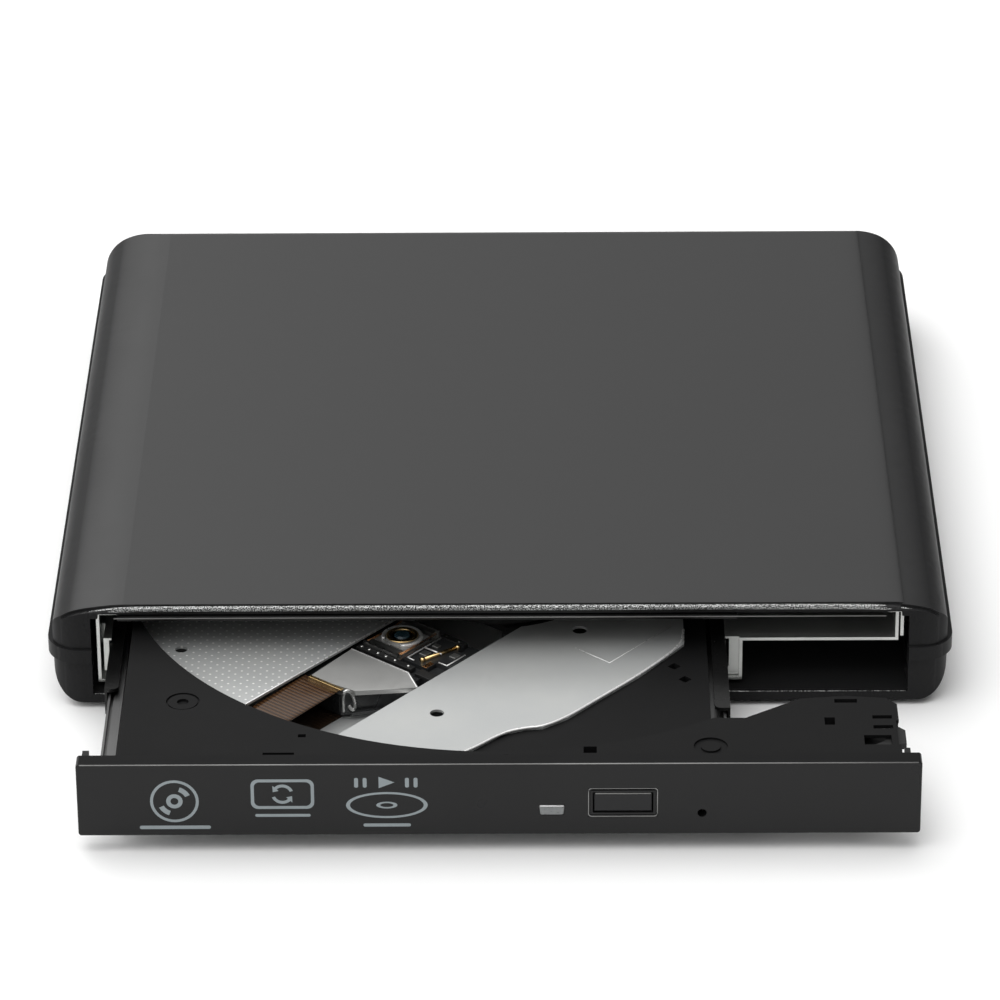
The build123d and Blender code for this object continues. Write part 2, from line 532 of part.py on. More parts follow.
with BuildPart() as shield_plate_right:
    outline(RIGHT_PLATE, TRAY_FLOOR_Z, 10.4)
    block(-90, 90, -90, SLOT_HIGH_V, 9, 11, mode=Mode.SUBTRACT, plane=TRAVERSE)
    with BuildSketch(CASE.offset(TRAY_FLOOR_Z)):
        with Locations((0, SPINDLE_DEPTH)):
            Circle(59.5)
    extrude(amount=0.4, mode=Mode.INTERSECT)
    disc(0, SPINDLE_DEPTH, 16.4, 9, 11, mode=Mode.SUBTRACT)
    disc(-9.7, -19.9, 1.1, 9, 11, mode=Mode.SUBTRACT)
    disc(12.7, 6.2, 1.2, 9, 11, mode=Mode.SUBTRACT)
finish(shield_plate_right.part, "shield_plate_right")

with BuildPart() as traverse_frame:
    block(-19, 9.2, -19.4, 23.4, 7.4, 8.4, plane=TRAVERSE)
    block(6.0, 65.0, -19.4, -17.8, 7.0, 8.4, plane=TRAVERSE)
    block(62.0, 68.8, -16.6, -15.6, 7.0, 8.4, plane=TRAVERSE)
    block(62.0, 65.0, -18.4, -16.0, 7.0, 8.4, plane=TRAVERSE)
    block(6.0, 51.8, 21.6, 23.1, 7.0, 8.4, plane=TRAVERSE)
    block(8.4, 11.5, 18.0, 22.0, 5.4, 9.0, plane=TRAVERSE)
    block(51.2, 52.2, 15.5, 23.1, 5.0, 5.8, plane=TRAVERSE)
    block(51.2, 52.2, 15.9, 23.1, 5.4, 9.2, plane=TRAVERSE)
    block(51.2, 66.2, 15.2, 15.9, 5.0, 5.8, plane=TRAVERSE)
    rod(9.3, 13, SCREW_V, ROD_Z, 0.88, mode=Mode.SUBTRACT)
    rod(50, 53, SCREW_V, ROD_Z, 1.7, mode=Mode.SUBTRACT)
    disc(0, 0, 4.0, 7, 9, mode=Mode.SUBTRACT, plane=TRAVERSE)
    disc(-14, -14, 1.4, 7, 9, mode=Mode.SUBTRACT, plane=TRAVERSE)
    disc(-14, 18, 1.4, 7, 9, mode=Mode.SUBTRACT, plane=TRAVERSE)
finish(traverse_frame.part, "traverse_frame")

with BuildPart() as main_guide_rod:
    rod(9.6, 69.2, MAIN_ROD_V, ROD_Z, MAIN_ROD_R)
finish(main_guide_rod.part, "main_guide_rod")

with BuildPart() as side_guide_rod:
    rod(9.6, 68.6, SIDE_ROD_V, ROD_Z, SIDE_ROD_R)
finish(side_guide_rod.part, "side_guide_rod")

with BuildPart() as rod_clamps:
    block(9.2, 12.0, 10.4, 14.6, 5.0, 9.2, plane=TRAVERSE)
    block(66.2, 68.8, 10.6, 15.9, 5.0, 8.9, plane=TRAVERSE)
    block(9.2, 12.0, -15.6, -12.4, 5.4, 9.0, plane=TRAVERSE)
    block(66.8, 68.8, -15.6, -12.4, 5.4, 8.5, plane=TRAVERSE)
    rod(9.6, 70, MAIN_ROD_V, ROD_Z, MAIN_ROD_R, mode=Mode.SUBTRACT)
    rod(9.6, 68.6, SIDE_ROD_V, ROD_Z, SIDE_ROD_R, mode=Mode.SUBTRACT)
finish(rod_clamps.part, "rod_clamps")

with BuildPart() as sled_motor:
    rod(52.2, 62.2, SCREW_V, ROD_Z, 3.9)
    block(50, 64, 14, 25, 9.7, 12, mode=Mode.SUBTRACT, plane=TRAVERSE)
    block(50, 64, 14, 25, 2, 4.8, mode=Mode.SUBTRACT, plane=TRAVERSE)
    block(60.0, 62.2, 17.0, 22.0, 8.4, 9.6, plane=TRAVERSE)
    rod(52.0, 58.0, SCREW_V, ROD_Z, 0.88, mode=Mode.SUBTRACT)
finish(sled_motor.part, "sled_motor")

with BuildPart() as lead_screw:
    rod(11.7, 51.0, SCREW_V, ROD_Z, SCREW_R)
    rod(9.4, 57.5, SCREW_V, ROD_Z, 0.8)
finish(lead_screw.part, "lead_screw")

with BuildPart() as spindle_base:
    disc(0, 0, 10.8, 8.4, 9.0, plane=TRAVERSE)
    block(-17, 0, -6, 6, 8.4, 9.0, plane=TRAVERSE)
    disc(0, 0, 3.6, 5.0, 9.0, plane=TRAVERSE)
    disc(0, 0, 1.56, 5.6, 10, mode=Mode.SUBTRACT, plane=TRAVERSE)
finish(spindle_base.part, "spindle_base")

with BuildPart() as rotor_cup:
    disc(0, 0, 13.2, 9.3, 10.5, plane=TRAVERSE)
    disc(0, 0, 12.6, 9.0, 10.0, mode=Mode.SUBTRACT, plane=TRAVERSE)
    disc(0, 0, 1.5, 8, 12, mode=Mode.SUBTRACT, plane=TRAVERSE)
finish(rotor_cup.part, "rotor_cup")

with BuildPart() as spindle_shaft:
    disc(0, 0, 1.5, 5.7, 13.6, plane=TRAVERSE)
finish(spindle_shaft.part, "spindle_shaft")

with BuildPart() as stator_coils:
    for i in range(9):
        spoke = TRAVERSE.location * Location((0, 0, 0), (0, 0, i * 40.0))
        with Locations(spoke * Location((8.9, 0, 9.4))):
            Box(5.0, 2.6, 0.8)
    for i in range(9):
        spoke = TRAVERSE.location * Location((0, 0, 0), (0, 0, i * 40.0))
        with Locations(spoke * Location((5.3, 0, 9.2))):
            Box(2.6, 1.0, 0.4)
    disc(0, 0, 4.6, 9.0, 9.4, plane=TRAVERSE)
    disc(0, 0, 2.6, 8, 11, mode=Mode.SUBTRACT, plane=TRAVERSE)
finish(stator_coils.part, "stator_coils")

CLAW_ANGLES = (90.0, 210.0, 330.0)

with BuildPart() as turntable:
    disc(0, 0, TURNTABLE_R, 10.5, 11.2, plane=TRAVERSE)
    disc(0, 0, HUB_R, 11.2, 13.0, plane=TRAVERSE)
    disc(0, 0, 7.0, 13.0, 14.3, plane=TRAVERSE)
    disc(0, 0, 4.0, 14.3, 14.6, plane=TRAVERSE)
    disc(0, 0, 1.5, 10, 13.6, mode=Mode.SUBTRACT, plane=TRAVERSE)
    for a in CLAW_ANGLES:
        spoke = TRAVERSE.location * Location((0, 0, 0), (0, 0, a))
        with Locations(spoke * Location((6.2, 0, 13.55))):
            Box(5.0, 3.2, 1.2, mode=Mode.SUBTRACT)
finish(turntable.part, "turntable")

with BuildPart() as turntable_ring:
    disc(0, 0, 14.6, 11.2, DISC_SEAT_Z, plane=TRAVERSE)
    disc(0, 0, 11.2, 11, 12, mode=Mode.SUBTRACT, plane=TRAVERSE)
finish(turntable_ring.part, "turntable_ring")

for number, a in enumerate(CLAW_ANGLES, start=1):
    with BuildPart() as claw:
        spoke = TRAVERSE.location * Location((0, 0, 0), (0, 0, a))
        with Locations(spoke * Location((6.025, 0, 13.5))):
            Box(3.05, 2.4, 0.9)
        chamfer(edges().group_by(Axis.Z)[-1], length=0.25)
    finish(claw.part, "claw_" + str(number))

# ---------------------------------------------------------------------------
# Laser pickup
# ---------------------------------------------------------------------------
with BuildPart() as pickup_base:
    outline([(18.6, -10.0), (40.0, -10.0), (43.0, -6.5), (43.0, 3.5), (35.0, 9.8), (18.6, 9.8)], 5.3, 9.0,
            plane=TRAVERSE)
    for u in (18.6, 27.0):
        block(u, u + 4.0, 9.8, 14.8, 5.2, 9.2, plane=TRAVERSE)
    block(27.0, 33.0, -15.4, -10.0, 5.3, 9.0, plane=TRAVERSE)
    block(26.0, 34.0, -16.0, -12.9, 6.1, 8.3, mode=Mode.SUBTRACT, plane=TRAVERSE)
    rod(16, 34, MAIN_ROD_V, ROD_Z, MAIN_ROD_R + 0.06, mode=Mode.SUBTRACT)
    block(20.8, 27.6, -3.6, 3.6, 6.6, 10, mode=Mode.SUBTRACT, plane=TRAVERSE)
finish(pickup_base.part, "pickup_base")

with BuildPart() as pickup_cover:
    outline([(42.8, -3.2), (31.8, -3.9), (31.8, 8.0), (34.5, 12.3), (41.6, 5.4)], 9.0, 9.8, plane=TRAVERSE)
    rod(16, 50, MAIN_ROD_V, ROD_Z, MAIN_ROD_R + 0.3, mode=Mode.SUBTRACT)
finish(pickup_cover.part, "pickup_cover")

with BuildPart() as lens_yoke:
    block(19.0, 29.6, -3.9, 3.9, 9.0, 9.4, plane=TRAVERSE)
    block(19.0, 19.5, -3.6, 3.6, 9.4, 10.3, plane=TRAVERSE)
    block(29.1, 29.6, -3.6, 3.6, 9.4, 10.3, plane=TRAVERSE)
    block(20.9, 27.5, -3.5, 3.5, 8, 10, mode=Mode.SUBTRACT, plane=TRAVERSE)
finish(lens_yoke.part, "lens_yoke")

with BuildPart() as lens_magnets:
    block(19.5, 20.6, -3.2, 3.2, 9.4, 10.2, plane=TRAVERSE)
    block(27.9, 29.1, -3.2, 3.2, 9.4, 10.2, plane=TRAVERSE)
finish(lens_magnets.part, "lens_magnets")

with BuildPart() as laser_module:
    block(20.0, 29.0, 4.2, 9.4, 9.0, 9.7, plane=TRAVERSE)
    block(22.0, 27.0, 9.4, 12.2, 9.2, 9.9, plane=TRAVERSE)
finish(laser_module.part, "laser_module")

with BuildPart() as screw_nut:
    block(15.6, 22.4, 14.8, 15.4, 6.2, 8.4, plane=TRAVERSE)
    block(13.4, 16.8, 14.8, 18.1, 6.6, 7.8, plane=TRAVERSE)
finish(screw_nut.part, "screw_nut")

with BuildPart() as lens_holder:
    block(21.2, 27.2, -3.1, 3.1, 7.6, 9.9, plane=TRAVERSE)
    disc(LENS_R, 0, 2.6, 9.9, 10.3, plane=TRAVERSE)
    disc(LENS_R, 0, 1.65, 9.2, 11, mode=Mode.SUBTRACT, plane=TRAVERSE)
    disc(LENS_R, 0, 1.2, 7, 10, mode=Mode.SUBTRACT, plane=TRAVERSE)
finish(lens_holder.part, "lens_holder")

with BuildPart() as objective_lens:
    disc(LENS_R, 0, 1.65, 9.2, 10.2, plane=TRAVERSE)
    with BuildSketch(TRAVERSE.offset(10.2)):
        with Locations((LENS_R, 0)):
            Circle(1.4)
    extrude(amount=0.4, taper=35)
finish(objective_lens.part, "objective_lens")

# ---------------------------------------------------------------------------
# Underside of the tray and its flat cables
# ---------------------------------------------------------------------------
with BuildPart() as pickup_flex:
    block(36.0, 64.0, -4.0, 3.4, 4.8, 4.95, plane=TRAVERSE)
finish(pickup_flex.part, "pickup_flex")

with BuildPart() as tray_bottom_shield:
    block(TRAY_LEFT, TRAY_RIGHT, TRAY_FRONT + 0.6, DEEP_BACK, 4.4, SKIRT_Z)
    for x, d in ((-54.0, 45.0), (28.0, 45.0), (-54.0, 5.0), (28.0, -6.0)):
        disc(x, d, 1.0, 4, 5, mode=Mode.SUBTRACT)
    for i in range(5):
        block(-14, 14, 30 + i * 3.2, 31.4 + i * 3.2, 4, 5, mode=Mode.SUBTRACT)
finish(tray_bottom_shield.part, "tray_bottom_shield")

with BuildPart() as tray_screws:
    for x, d in ((-54.0, 45.0), (28.0, 45.0), (-54.0, 5.0), (28.0, -6.0)):
        disc(x, d, 1.5, 4.15, 4.4)
        disc(x, d, 0.88, 4.4, 8.2)
finish(tray_screws.part, "tray_screws")

with BuildPart() as tray_flex:
    block(-18, -2, 52.2, 76, TRAY_BASE_Z - 0.15, TRAY_BASE_Z)
finish(tray_flex.part, "tray_flex")
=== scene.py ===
import bpy
import bmesh
import json
import math
from mathutils import Matrix, Vector


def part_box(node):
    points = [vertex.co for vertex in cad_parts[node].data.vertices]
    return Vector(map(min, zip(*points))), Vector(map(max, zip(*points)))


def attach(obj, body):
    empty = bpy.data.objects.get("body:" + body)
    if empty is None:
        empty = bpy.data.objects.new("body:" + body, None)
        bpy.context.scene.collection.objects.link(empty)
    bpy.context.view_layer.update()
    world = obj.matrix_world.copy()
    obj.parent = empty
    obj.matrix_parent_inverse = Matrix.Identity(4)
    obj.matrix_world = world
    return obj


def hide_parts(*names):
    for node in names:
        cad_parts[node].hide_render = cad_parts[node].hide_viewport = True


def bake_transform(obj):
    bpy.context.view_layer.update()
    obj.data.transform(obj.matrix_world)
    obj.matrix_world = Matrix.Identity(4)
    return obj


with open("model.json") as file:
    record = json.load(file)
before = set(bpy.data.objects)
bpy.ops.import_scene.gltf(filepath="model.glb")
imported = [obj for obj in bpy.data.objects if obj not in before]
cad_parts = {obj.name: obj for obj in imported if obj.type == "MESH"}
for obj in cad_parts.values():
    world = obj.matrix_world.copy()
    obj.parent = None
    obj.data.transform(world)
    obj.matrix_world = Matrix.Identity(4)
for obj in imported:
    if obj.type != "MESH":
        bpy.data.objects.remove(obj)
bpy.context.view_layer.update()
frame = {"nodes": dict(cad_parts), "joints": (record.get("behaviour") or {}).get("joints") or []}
nodes = frame["nodes"]
MM = 0.001

# Places along (u) and across (v) the pickup's line of travel, in mm
LENS_U = 24.2
SCREW_V = 19.6
SCREW_Z = 7.2
THREAD_START_U = 11.7
THREAD_LENGTH = 39.3
THREAD_PITCH = 3.0
CABLE_LOW_V = -4.0
CABLE_WIDTH = 7.4

# ---------------------------------------------------------------------------
# Places read from the frame
# ---------------------------------------------------------------------------
case_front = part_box("chassis_pan")[0].y - 2.4 * MM
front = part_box("bezel")[0].y
shaft_low, shaft_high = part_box("spindle_shaft")
spindle = Vector(((shaft_low.x + shaft_high.x) / 2, (shaft_low.y + shaft_high.y) / 2, 0))
sled_axis = Vector([j for j in frame["joints"] if j["name"] == "sled_slide"][0]["axis"]).normalized()
side_axis = Vector((0, 0, 1)).cross(sled_axis)


def at(x, depth, z):
    """A place by its distance from the middle, behind the case front and above the desk, in mm."""
    return Vector((x * MM, case_front + depth * MM, z * MM))


def on_traverse(u, v, z):
    """A place by its distance along and across the pickup's line of travel, in mm."""
    p = spindle + sled_axis * (u * MM) + side_axis * (v * MM)
    return Vector((p.x, p.y, z * MM))


# ---------------------------------------------------------------------------
# Materials
# ---------------------------------------------------------------------------
def new_material(name):
    mat = bpy.data.materials.new(name)
    mat.use_nodes = True
    nt = mat.node_tree
    bsdf = nt.nodes["Principled BSDF"]
    coord = nt.nodes.new("ShaderNodeTexCoord")
    return mat, nt, bsdf, coord


def noise(nt, coord, scale, detail=4.0, rough=0.55, stretch=None):
    node = nt.nodes.new("ShaderNodeTexNoise")
    node.inputs["Scale"].default_value = scale
    node.inputs["Detail"].default_value = detail
    node.inputs["Roughness"].default_value = rough
    source = coord.outputs["Object"]
    if stretch:
        mapping = nt.nodes.new("ShaderNodeMapping")
        mapping.inputs["Scale"].default_value = stretch[:3]
        if len(stretch) > 3:
            mapping.inputs["Rotation"].default_value = (0, 0, stretch[3])
        nt.links.new(source, mapping.inputs["Vector"])
        source = mapping.outputs["Vector"]
    nt.links.new(source, node.inputs["Vector"])
    return node.outputs["Fac"]


def remap(nt, value, low, high, start=0.3, end=0.7):
    node = nt.nodes.new("ShaderNodeMapRange")
    node.inputs["From Min"].default_value = start
    node.inputs["From Max"].default_value = end
    node.inputs["To Min"].default_value = low
    node.inputs["To Max"].default_value = high
    nt.links.new(value, node.inputs["Value"])
    return node.outputs["Result"]


def blend_colours(nt, factor, a, b):
    node = nt.nodes.new("ShaderNodeMix")
    node.data_type = "RGBA"
    node.inputs["A"].default_value = (*a, 1)
    node.inputs["B"].default_value = (*b, 1)
    nt.links.new(factor, node.inputs["Factor"])
    return node.outputs["Result"]


def bump(nt, bsdf, height, distance, strength=1.0, under=None):
    node = nt.nodes.new("ShaderNodeBump")
    node.inputs["Distance"].default_value = distance
    node.inputs["Strength"].default_value = strength
    nt.links.new(height, node.inputs["Height"])
    if under is not None:
        nt.links.new(under, node.inputs["Normal"])
    nt.links.new(node.outputs["Normal"], bsdf.inputs["Normal"])
    return node.outputs["Normal"]


def shade(c, k):
    return tuple(max(0.0, min(1.0, x * k)) for x in c)


def moulded(name, colour, rough, spec=0.5, grain=0.0002, depth=0.00001, spread=0.05, vary=0.12):
    """Moulded plastic or rubber: a fine grain, and slow changes of gloss and shade."""
    mat, nt, bsdf, coord = new_material(name)
    fine = noise(nt, coord, 1 / grain, 3.0)
    slow = noise(nt, coord, 60.0, 3.0)
    mottled = blend_colours(nt, remap(nt, slow, 0, 1), shade(colour, 1 - vary), shade(colour, 1 + vary))
    nt.links.new(mottled, bsdf.inputs["Base Color"])
    nt.links.new(remap(nt, slow, rough - spread, rough + spread), bsdf.inputs["Roughness"])
    bsdf.inputs["Specular IOR Level"].default_value = spec
    bump(nt, bsdf, fine, depth)
    return mat


def case_material(name):
    """Satin black plastic, coarser and glossier on the step round the mouth of the case; its specular level
    is turned down below the flat top as painted shade on the rounded sides.
    """
    mat, nt, bsdf, coord = new_material(name)
    fine = noise(nt, coord, 6000.0, 3.0)
    coarse = noise(nt, coord, 1700.0, 2.0)
    slow = noise(nt, coord, 40.0, 3.0)
    split = nt.nodes.new("ShaderNodeSeparateXYZ")
    nt.links.new(coord.outputs["Object"], split.inputs["Vector"])
    lip = remap(nt, split.outputs["Y"], 1, 0, case_front + 0.7 * MM, case_front + 1.0 * MM)
    mottled = blend_colours(nt, remap(nt, slow, 0, 1), (0.0155, 0.0155, 0.016), (0.017, 0.017, 0.0175))
    nt.links.new(mottled, bsdf.inputs["Base Color"])
    gloss = nt.nodes.new("ShaderNodeMix")
    gloss.inputs["B"].default_value = 0.2
    nt.links.new(lip, gloss.inputs["Factor"])
    nt.links.new(remap(nt, slow, 0.38, 0.44), gloss.inputs["A"])
    nt.links.new(gloss.outputs["Result"], bsdf.inputs["Roughness"])
    grain = nt.nodes.new("ShaderNodeMath")
    grain.operation = "MULTIPLY"
    nt.links.new(coarse, grain.inputs[0])
    nt.links.new(lip, grain.inputs[1])
    # Painted shade: the specular level drops below the flat top, so the rounded sides read darker.
    side_shade_spec = remap(nt, split.outputs["Z"], 0.07, 0.56, 17.0 * MM, 18.35 * MM)
    nt.links.new(side_shade_spec, bsdf.inputs["Specular IOR Level"])
    normal = bump(nt, bsdf, fine, 0.000006)
    bump(nt, bsdf, grain.outputs["Value"], 0.0001, 1.0, normal)
    return mat


def bezel_material(name):
    """Satin black plastic; its specular level drops on the face that looks up, as painted shade."""
    mat = moulded(name, (0.0095, 0.0095, 0.0098), 0.30, 0.25, 0.00012, 0.000003, 0.03, 0.06)
    nt = mat.node_tree
    bsdf = nt.nodes["Principled BSDF"]
    split = nt.nodes.new("ShaderNodeSeparateXYZ")
    coord = nt.nodes.new("ShaderNodeTexCoord")
    nt.links.new(coord.outputs["Object"], split.inputs["Vector"])
    # Painted shade: the specular level drops on the upward face, so the top of the bezel reads darker.
    top = remap(nt, split.outputs["Z"], 0.25, 0.05, 15.32 * MM, 15.39 * MM)
    nt.links.new(top, bsdf.inputs["Specular IOR Level"])
    return mat


def highlight_grain_material(name):
    """Coarse grain with bright grey flecks in the colour: a painted glittering highlight along an edge."""
    mat, nt, bsdf, coord = new_material(name)
    grain = noise(nt, coord, 4800.0, 2.0, 0.6)
    # Painted highlight: bright grey flecks mixed into the colour; the bump is the real grain.
    glint_fleck = remap(nt, grain, 0, 1, 0.46, 0.62)
    colour = blend_colours(nt, glint_fleck, (0.02, 0.02, 0.02), (0.78, 0.79, 0.78))
    nt.links.new(colour, bsdf.inputs["Base Color"])
    nt.links.new(remap(nt, glint_fleck, 0.5, 0.25, 0, 1), bsdf.inputs["Roughness"])
    bsdf.inputs["Metallic"].default_value = 0.5
    bump(nt, bsdf, grain, 0.00008)
    return mat


def sheet_metal(name, colour, rough, stretch=(1, 1, 1), scale=900.0, depth=0.000004, spread=0.06, vary=0.08,
                metal=1.0):
    """Rolled or plated steel: streaks along the grain, faint stains and a fine tooth."""
    mat, nt, bsdf, coord = new_material(name)
    streak = noise(nt, coord, scale, 5.0, 0.6, stretch)
    stain = noise(nt, coord, 90.0, 4.0)
    stained = blend_colours(nt, remap(nt, stain, 0, 1), shade(colour, 1 - vary), shade(colour, 1 + vary))
    nt.links.new(stained, bsdf.inputs["Base Color"])
    nt.links.new(remap(nt, streak, rough - spread, rough + spread), bsdf.inputs["Roughness"])
    bsdf.inputs["Metallic"].default_value = metal
    bump(nt, bsdf, streak, depth)
    return mat


case_plastic = case_material("case_plastic")
bezel_plastic = bezel_material("bezel_plastic")
tray_plastic = moulded("tray_plastic", (0.0072, 0.0072, 0.0074), 0.55, 0.10, 0.00022, 0.00001, 0.06, 0.1)
button_plastic = moulded("button_plastic", (0.011, 0.011, 0.012), 0.32, 0.28, 0.00012, 0.000003, 0.03, 0.06)
rubber = moulded("rubber", (0.012, 0.012, 0.012), 0.75, 0.3, 0.0003, 0.00002, 0.05, 0.2)
black_part = moulded("black_part", (0.012, 0.012, 0.012), 0.5, 0.35, 0.0002, 0.000008, 0.08, 0.15)
chip_black = moulded("chip_black", (0.02, 0.02, 0.021), 0.6, 0.4, 0.00009, 0.000006, 0.06, 0.15)
white_plastic = moulded("white_plastic", (0.7, 0.69, 0.65), 0.45, 0.5, 0.0002, 0.000005, 0.05, 0.05)
zinc_cast = sheet_metal("zinc_cast", (0.33, 0.33, 0.32), 0.45, scale=2500.0, depth=0.00002, vary=0.2)
pickup_grey = sheet_metal("pickup_grey", (0.43, 0.43, 0.42), 0.38, scale=1500.0, depth=0.000002, metal=0.5)
chassis_steel = sheet_metal("chassis_steel", (0.62, 0.63, 0.61), 0.24, (3, 1, 3), 300.0, 0.0000002, 0.02,
                            metal=0.85)
rail_steel = sheet_metal("rail_steel", (0.17, 0.17, 0.17), 0.38, (10, 0.3, 10), 900.0)
bright_steel = sheet_metal("bright_steel", (0.76, 0.76, 0.76), 0.16, (6, 6, 6), 600.0, 0.000002, 0.05)
screw_steel = sheet_metal("screw_steel", (0.2, 0.2, 0.21), 0.35, scale=3000.0, depth=0.000006)
motor_steel = sheet_metal("motor_steel", (0.5, 0.5, 0.49), 0.3, scale=1500.0)
frame_black = moulded("frame_black", (0.016, 0.016, 0.016), 0.4, 0.5, 0.0003, 0.00001, 0.1, 0.2)
gold = sheet_metal("gold_plate", (0.85, 0.6, 0.28), 0.22, scale=2000.0, depth=0.000002)
solder = sheet_metal("solder", (0.7, 0.7, 0.68), 0.25, scale=3000.0, depth=0.00001)


def shield_plate_material(name, dots):
    """Bright rolled steel; one of the plates carries a fine staggered pattern of dimples, which are also
    painted near-white in the colour as glints.
    """
    mat, nt, bsdf, coord = new_material(name)
    streak = noise(nt, coord, 400.0, 3.0, 0.5, (6, 0.8, 1, math.radians(50)))
    stain = noise(nt, coord, 60.0, 4.0)
    colour = blend_colours(nt, remap(nt, stain, 0, 1), (0.54, 0.555, 0.555), (0.59, 0.60, 0.59))
    nt.links.new(remap(nt, streak, 0.30, 0.36), bsdf.inputs["Roughness"])
    bsdf.inputs["Metallic"].default_value = 0.5
    normal = bump(nt, bsdf, streak, 0.0000003)
    if dots:
        pitch = 0.0014
        turn = nt.nodes.new("ShaderNodeMapping")
        turn.inputs["Rotation"].default_value = (0, 0, math.radians(45))
        turn.inputs["Scale"].default_value = (1 / pitch, 1 / pitch, 0)
        nt.links.new(coord.outputs["Object"], turn.inputs["Vector"])
        cell = nt.nodes.new("ShaderNodeVectorMath")
        cell.operation = "FRACTION"
        nt.links.new(turn.outputs["Vector"], cell.inputs[0])
        centre = nt.nodes.new("ShaderNodeVectorMath")
        centre.operation = "DISTANCE"
        centre.inputs[1].default_value = (0.5, 0.5, 0)
        nt.links.new(cell.outputs["Vector"], centre.inputs[0])
        dot = remap(nt, centre.outputs["Value"], 1, 0, 0.09, 0.17)
        bump(nt, bsdf, dot, 0.00003, 0.5, normal)
        # Painted glints: the dimples are also whitened in the base colour.
        mix = nt.nodes.new("ShaderNodeMix")
        mix.data_type = "RGBA"
        mix.inputs["B"].default_value = (1.0, 1.0, 0.98, 1)
        nt.links.new(dot, mix.inputs["Factor"])
        nt.links.new(colour, mix.inputs["A"])
        colour = mix.outputs["Result"]
    nt.links.new(colour, bsdf.inputs["Base Color"])
    return mat


def board_material(name):
    """A circuit board: solder mask over faint copper traces."""
    mat, nt, bsdf, coord = new_material(name)
    cells = nt.nodes.new("ShaderNodeTexVoronoi")
    cells.distance = "MANHATTAN"
    cells.feature = "F1"
    cells.inputs["Scale"].default_value = 420.0
    nt.links.new(coord.outputs["Object"], cells.inputs["Vector"])
    line = nt.nodes.new("ShaderNodeMath")
    line.operation = "PINGPONG"
    line.inputs[1].default_value = 0.08
    nt.links.new(cells.outputs["Distance"], line.inputs[0])
    trace = remap(nt, line.outputs["Value"], 0, 1, 0.03, 0.045)
    colour = blend_colours(nt, trace, (0.005, 0.05, 0.022), (0.012, 0.1, 0.045))
    nt.links.new(colour, bsdf.inputs["Base Color"])
    nt.links.new(remap(nt, noise(nt, coord, 200.0), 0.25, 0.4), bsdf.inputs["Roughness"])
    bump(nt, bsdf, trace, 0.00003)
    return mat


def flex_material(name, colour, trace_colour):
    """A flat cable: glossy film over fine parallel tracks."""
    mat, nt, bsdf, coord = new_material(name)
    turn = nt.nodes.new("ShaderNodeMapping")
    turn.inputs["Rotation"].default_value = (0, 0, math.radians(-50))
    nt.links.new(coord.outputs["Object"], turn.inputs["Vector"])
    wave = nt.nodes.new("ShaderNodeTexWave")
    wave.bands_direction = "X"
    wave.inputs["Scale"].default_value = 420.0
    wave.inputs["Distortion"].default_value = 0.0
    nt.links.new(turn.outputs["Vector"], wave.inputs["Vector"])
    line = remap(nt, wave.outputs["Fac"], 0, 1, 0.45, 0.6)
    nt.links.new(blend_colours(nt, line, colour, trace_colour), bsdf.inputs["Base Color"])
    nt.links.new(remap(nt, noise(nt, coord, 300.0), 0.15, 0.3), bsdf.inputs["Roughness"])
    bump(nt, bsdf, line, 0.00002)
    return mat


def winding_material(name):
    """Enamelled copper wire, wound side by side."""
    mat, nt, bsdf, coord = new_material(name)
    wave = nt.nodes.new("ShaderNodeTexWave")
    wave.bands_direction = "Z"
    wave.inputs["Scale"].default_value = 1800.0
    wave.inputs["Distortion"].default_value = 0.6
    nt.links.new(coord.outputs["Object"], wave.inputs["Vector"])
    nt.links.new(blend_colours(nt, wave.outputs["Fac"], (0.25, 0.07, 0.02), (0.75, 0.33, 0.13)),
                 bsdf.inputs["Base Color"])
    nt.links.new(remap(nt, wave.outputs["Fac"], 0.5, 0.25, 0, 1), bsdf.inputs["Roughness"])
    bsdf.inputs["Metallic"].default_value = 0.8
    bump(nt, bsdf, wave.outputs["Fac"], 0.00004)
    return mat


def lens_material(name):
    mat, nt, bsdf, coord = new_material(name)
    haze = remap(nt, noise(nt, coord, 500.0), 0, 1)
    tint = blend_colours(nt, haze, (0.02, 0.06, 0.07), (0.06, 0.10, 0.14))
    nt.links.new(tint, bsdf.inputs["Base Color"])
    bsdf.inputs["Roughness"].default_value = 0.04
    bsdf.inputs["Transmission Weight"].default_value = 0.3
    bsdf.inputs["IOR"].default_value = 1.5
    return mat


def lamp_material(name):
    mat, nt, bsdf, coord = new_material(name)
    grain = noise(nt, coord, 1500.0)
    nt.links.new(blend_colours(nt, remap(nt, grain, 0, 1), (0.20, 0.21, 0.21), (0.27, 0.28, 0.28)),
                 bsdf.inputs["Base Color"])
    nt.links.new(remap(nt, grain, 0.25, 0.4), bsdf.inputs["Roughness"])
    bsdf.inputs["Transmission Weight"].default_value = 0.15
    bump(nt, bsdf, grain, 0.00002)
    return mat


plate_dotted = shield_plate_material("plate_dotted", True)
plate_plain = shield_plate_material("plate_plain", False)
board_green = board_material("board_green")
amber_flex = flex_material("amber_flex", (0.032, 0.014, 0.006), (0.085, 0.042, 0.017))
film_dark = flex_material("film_dark", (0.014, 0.009, 0.006), (0.03, 0.018, 0.011))
white_flex = flex_material("white_flex", (0.68, 0.68, 0.64), (0.5, 0.5, 0.48))
winding = winding_material("winding")
lens_glass = lens_material("lens_glass")
lamp_clear = lamp_material("lamp_clear")
dark_cast = moulded("dark_cast", (0.02, 0.021, 0.022), 0.32, 0.6, 0.0004, 0.00002, 0.1, 0.3)
copper = sheet_metal("copper", (0.72, 0.36, 0.16), 0.25, scale=2500.0, depth=0.000002)
bright_trim_and_highlight = sheet_metal("bright_trim_and_highlight", (0.9, 0.9, 0.89), 0.3, scale=1200.0, depth=0.000001, metal=0.55)
